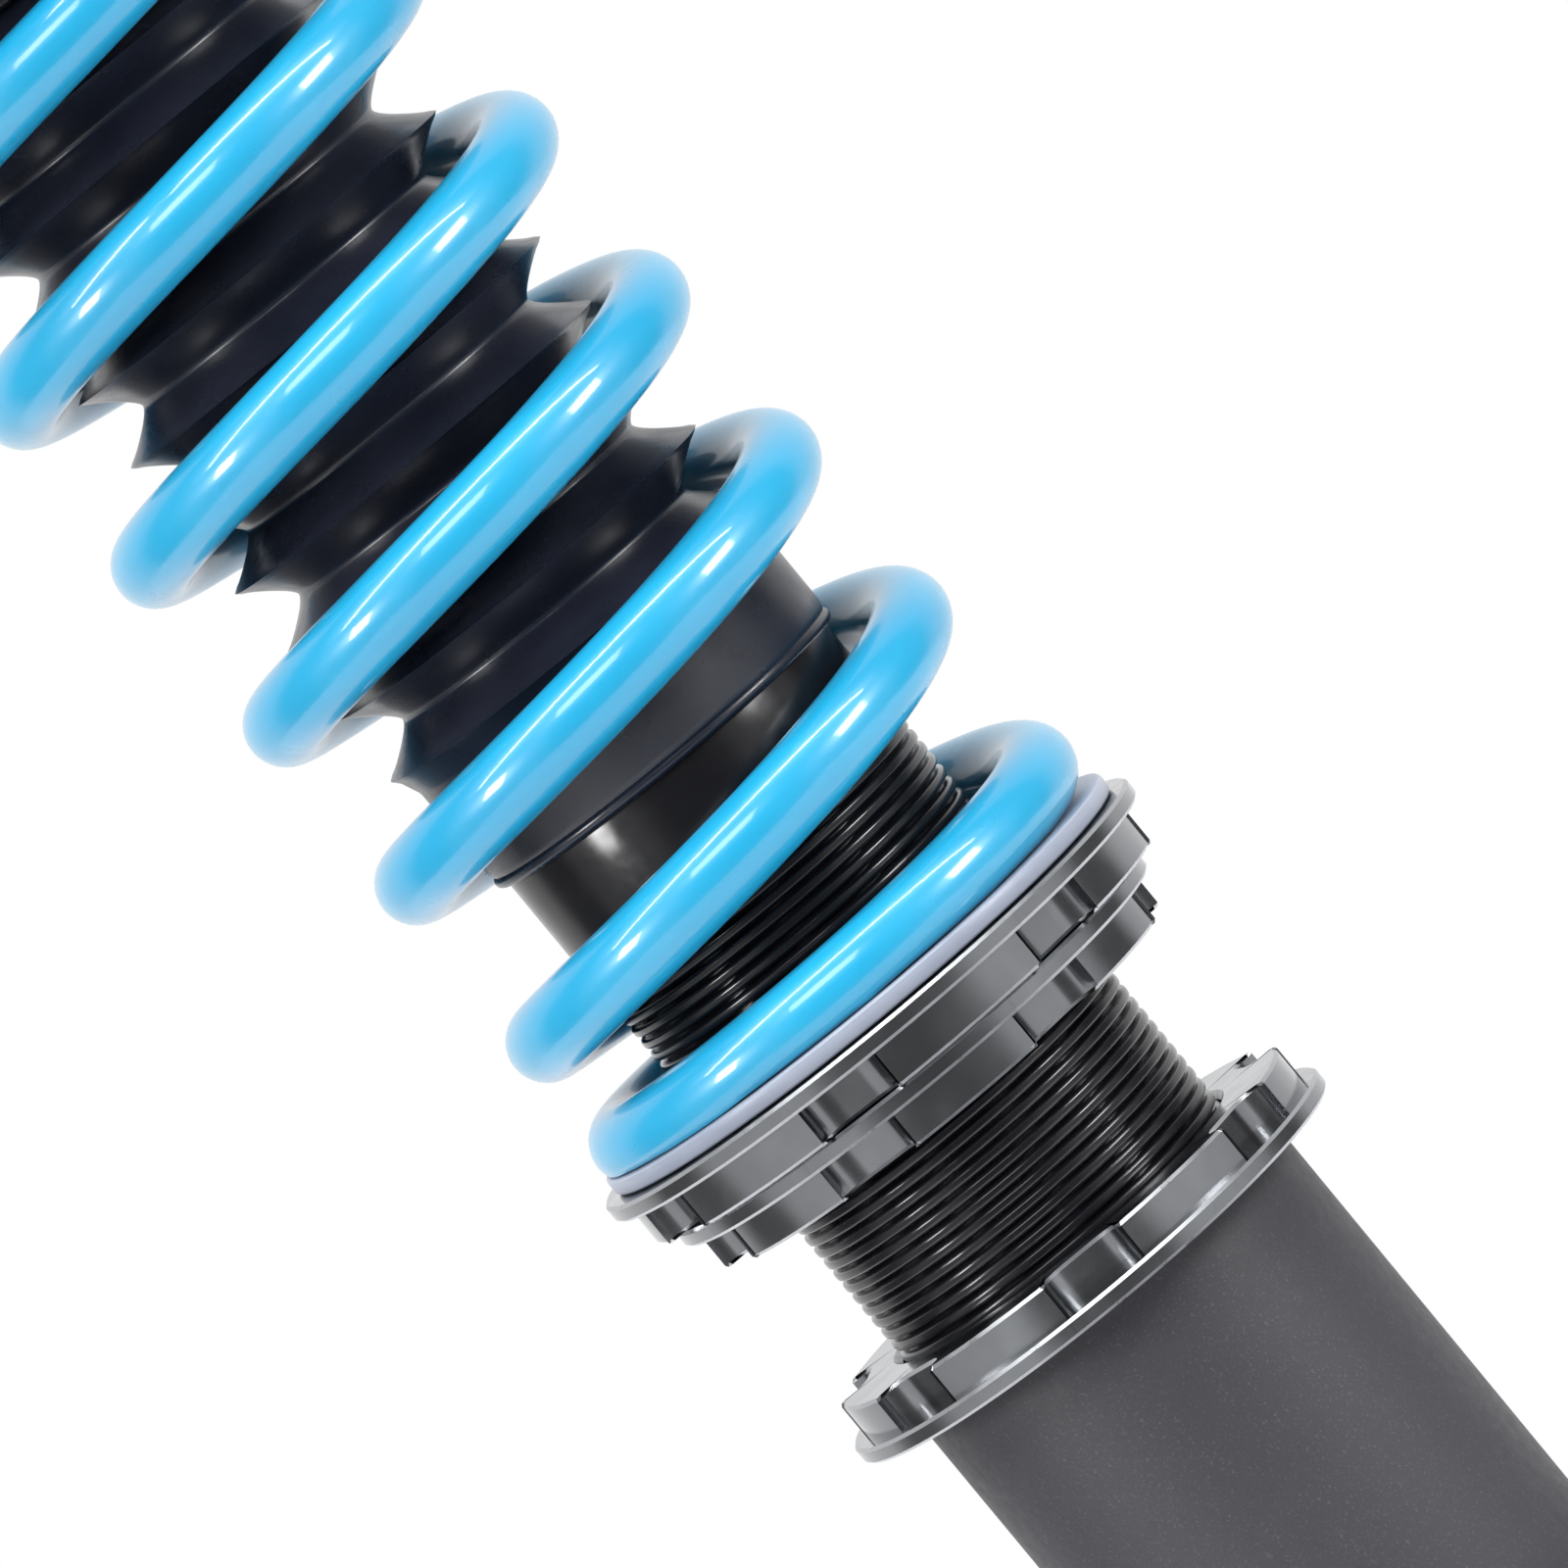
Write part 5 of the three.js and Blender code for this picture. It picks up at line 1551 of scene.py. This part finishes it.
# %% Bolt holes
def cut_bars(piece, spots, radius, length):
    """Cuts round holes along Y at the given (x, z) spots and bakes the result."""
    cutters = []
    circle = round_hole((0, 0), radius, 64)
    sides = len(circle)
    caps = np.stack([np.arange(sides)[::-1], sides + np.arange(sides)])
    for x, z in spots:
        rim = np.column_stack([x + circle[:, 0], np.zeros(sides), z + circle[:, 1]])
        points = np.concatenate([rim - np.array([0, length, 0]), rim + np.array([0, length, 0])])
        cutter = new_piece("cutter", points, [grid_quads(2, sides, False, True), caps])
        change = piece.modifiers.new("hole", "BOOLEAN")
        change.operation = "DIFFERENCE"
        change.object = cutter
        change.solver = "EXACT"
        cutters.append(cutter)
    bpy.context.view_layer.update()
    seen = piece.evaluated_get(bpy.context.evaluated_depsgraph_get())
    baked = bpy.data.meshes.new_from_object(seen)
    piece.modifiers.clear()
    piece.data = baked
    for cutter in cutters:
        bpy.data.objects.remove(cutter)
    piece.data.shade_smooth()
    piece.data.set_sharp_from_angle(angle=np.radians(32))


bolt_heights = [bracket_middle + side * BOLT_HALF_SPREAD for side in (-1, 1)]
cut_bars(bracket, [(BOLT_REACH, z) for z in bolt_heights], 7.25 * MM, 60 * MM)
settle(bracket, "knuckle_bracket", [CHARCOAL])
print("bracket:", len(bracket.data.polygons), "faces")

# %% [markdown]
# ## Web and tabs
#
# A flat web closes the bracket behind the knuckle. Two tabs stand on the wrap: a thick one for
# the sway bar's link and a thin one for the brake hose. All are cut plate with eased edges.


# %% Flat plates
def tab_plate(name, node, thickness, end_radius, hole, sign):
    """A tab that stands out along Y (sign +1) or -Y (sign -1), with a round end and a hole."""
    bottom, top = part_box(node)
    root = min(abs(bottom.y), abs(top.y))
    tip = max(abs(bottom.y), abs(top.y))
    centre = tip - end_radius
    middle = (bottom.z + top.z) / 2
    half_root = (top.z - bottom.z) / 2
    round_end = arc((centre, 0), end_radius, -90, 90, 25)
    outline = np.concatenate([[(root, -half_root)], round_end, [(root, half_root)]])
    holes = [round_hole((centre, 0), hole, 40)]
    turn = Matrix(((0, 0, sign, 0), (sign, 0, 0, 0), (0, 1, 0, middle), (0, 0, 0, 1)))
    piece = plate(name, outline, holes, -thickness / 2, thickness / 2, 0.5 * MM, turn)
    return settle(piece, node, [CHARCOAL])


tab_plate("sway_tab_cut", "sway_link_tab", 6 * MM, 12 * MM, 6.25 * MM, 1)
tab_plate("hose_tab_cut", "brake_hose_tab", 3 * MM, 9 * MM, 5.25 * MM, -1)

web_low, web_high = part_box("bracket_web")
web_outline = ring_section(web_low.y, web_high.y, web_low.z, web_high.z)
web_turn = Matrix(((0, 0, 1, 0), (1, 0, 0, 0), (0, 1, 0, 0), (0, 0, 0, 1)))
web = plate("web_cut", dense(web_outline, 4), [], web_low.x, web_high.x, 0.6 * MM, web_turn)
settle(web, "bracket_web", [CHARCOAL])
print("web and tabs made")

# %% [markdown]
# ## What stays as it came
#
# The pieces hidden inside the damper and bearing keep their plain shapes and get real
# finishes. Each one's slot name picks the finish.

# %% Finishes for carried-over nodes
dressed = 0
for node, thing in frame["nodes"].items():
    for slot in thing.material_slots:
        slot.material = MATERIAL_BY_SLOT[slot.material.name.split(".")[0]]
        dressed += 1
print("finishes given to", dressed, "plain nodes")

# %% [markdown]
# ## Light and floor
#
# A white room with soft boxes: one large and high on the left, one narrower on the right and
# one long strip above. The room is bright behind the strut and dimmer in front of it, so
# black gloss stays black while every rim picks up a pale edge.


# %% Room
def room():
    """The world's light by compass direction: dim in front, bright to both sides of the front,
    dark square to the sides, and white behind; white to look at. The direction is read as
    c = -y / sqrt(x² + y²), which is 1 in front, 0 at the sides and -1 behind."""
    world = bpy.data.worlds.new("room")
    bpy.context.scene.world = world
    world.use_nodes = True
    tree = world.node_tree
    background = tree.nodes["Background"]
    place = tree.nodes.new("ShaderNodeTexCoord")
    flatten = tree.nodes.new("ShaderNodeVectorMath")
    flatten.operation = "MULTIPLY"
    flatten.inputs[1].default_value = (1, 1, 0)
    unit = tree.nodes.new("ShaderNodeVectorMath")
    unit.operation = "NORMALIZE"
    parts = tree.nodes.new("ShaderNodeSeparateXYZ")
    span = tree.nodes.new("ShaderNodeMapRange")
    span.inputs["From Min"].default_value = 1
    span.inputs["From Max"].default_value = -1
    ramp = tree.nodes.new("ShaderNodeValToRGB")
    ramp.color_ramp.interpolation = "EASE"
    while len(ramp.color_ramp.elements) < len(ROOM_LIGHT):
        ramp.color_ramp.elements.new(0.5)
    for element, (c, light) in zip(ramp.color_ramp.elements, ROOM_LIGHT):
        element.position = (c + 1) / 2
        element.color = (light, light, light, 1)
    path = tree.nodes.new("ShaderNodeLightPath")
    seen = tree.nodes.new("ShaderNodeMix")
    seen.inputs["B"].default_value = 1.0
    join_nodes(
        tree,
        (place, "Generated", flatten, 0),
        (flatten, "Vector", unit, 0),
        (unit, "Vector", parts, "Vector"),
        (parts, "Y", span, "Value"),
        (span, "Result", ramp, "Fac"),
        (path, "Is Camera Ray", seen, "Factor"),
        (ramp, "Color", seen, "A"),
        (seen, "Result", background, "Strength"),
    )
    background.inputs["Color"].default_value = (1, 1, 1, 1)


ROOM_LIGHT = [
    (-1.0, 1.0),
    (-0.62, 0.85),
    (-0.36, 0.17),
    (-0.1, 0.17),
    (0.14, 0.66),
    (0.78, 0.72),
    (0.92, 0.22),
    (1.0, 0.15),
]
room()
bpy.context.scene.view_settings.view_transform = "Standard"
print("room made,", len(ROOM_LIGHT), "steps of light")


# %% Soft boxes
def soft_box(name, place, aim, width, height, power):
    """A rectangular lamp that looks at a point."""
    lamp = bpy.data.lights.new(name, "AREA")
    lamp.shape = "RECTANGLE"
    lamp.size = width
    lamp.size_y = height
    lamp.energy = power
    holder = bpy.data.objects.new(name, lamp)
    bpy.context.scene.collection.objects.link(holder)
    direction = Vector(aim) - Vector(place)
    turned = direction.to_track_quat("-Z", "Y").to_matrix().to_4x4()
    holder.matrix_world = Matrix.Translation(place) @ turned
    return holder


MIDDLE = Vector((0, 0, TUBE_TOP + 0.08))


def from_middle(azimuth, elevation, distance):
    """A point seen from the middle of the strut: azimuth 0 is the front, positive to the right."""
    a, e = np.radians(azimuth), np.radians(elevation)
    return MIDDLE + distance * Vector((np.sin(a) * np.cos(e), -np.cos(a) * np.cos(e), np.sin(e)))


soft_box("left_box", from_middle(-60, 17, 1.2), MIDDLE, 0.22, 0.3, 7)
soft_box("right_box", from_middle(60, 17, 1.2), MIDDLE, 0.36, 0.34, 9)
soft_box("top_strip", from_middle(0, 74, 1.0), MIDDLE, 2.6, 0.07, 16)
soft_box("front_fill", from_middle(-12, 42, 1.6), MIDDLE, 0.8, 0.4, 10)
print("four soft boxes placed")

# %% [markdown]
# ## The floor
#
# A sheet of pale paper lies just under the foot, low enough that a tilted strut clears it. Its
# underside is clear, so the strut can also be looked at from below.


# %% Floor
def floor_paper():
    """Pale paper above, clear from below: the face's back is mixed with a transparent shader."""
    material, tree, shader = start_finish("floor_paper", (0.86, 0.86, 0.87), roughness=0.8)
    tint(tree, object_noise(tree, 3), shader, (0.85, 0.85, 0.86), (0.87, 0.87, 0.88))
    side = tree.nodes.new("ShaderNodeNewGeometry")
    clear = tree.nodes.new("ShaderNodeBsdfTransparent")
    either = tree.nodes.new("ShaderNodeMixShader")
    join_nodes(
        tree,
        (side, "Backfacing", either, "Fac"),
        (shader, "BSDF", either, 1),
        (clear, "BSDF", either, 2),
        (either, "Shader", tree.nodes["Material Output"], "Surface"),
    )
    return material


FLOOR_HEIGHT = cad_box[0].z - 7 * MM
FLOOR_HALF = 0.6
floor_points = []
for x in (-FLOOR_HALF, FLOOR_HALF):
    for y in (-FLOOR_HALF, FLOOR_HALF):
        floor_points.append((x, y, FLOOR_HEIGHT))
floor_mesh = bpy.data.meshes.new("floor")
floor_mesh.from_pydata(floor_points, [], [(0, 2, 3, 1)])
floor_mesh.materials.append(floor_paper())
floor = bpy.data.objects.new("floor", floor_mesh)
bpy.context.scene.collection.objects.link(floor)
print("floor laid")
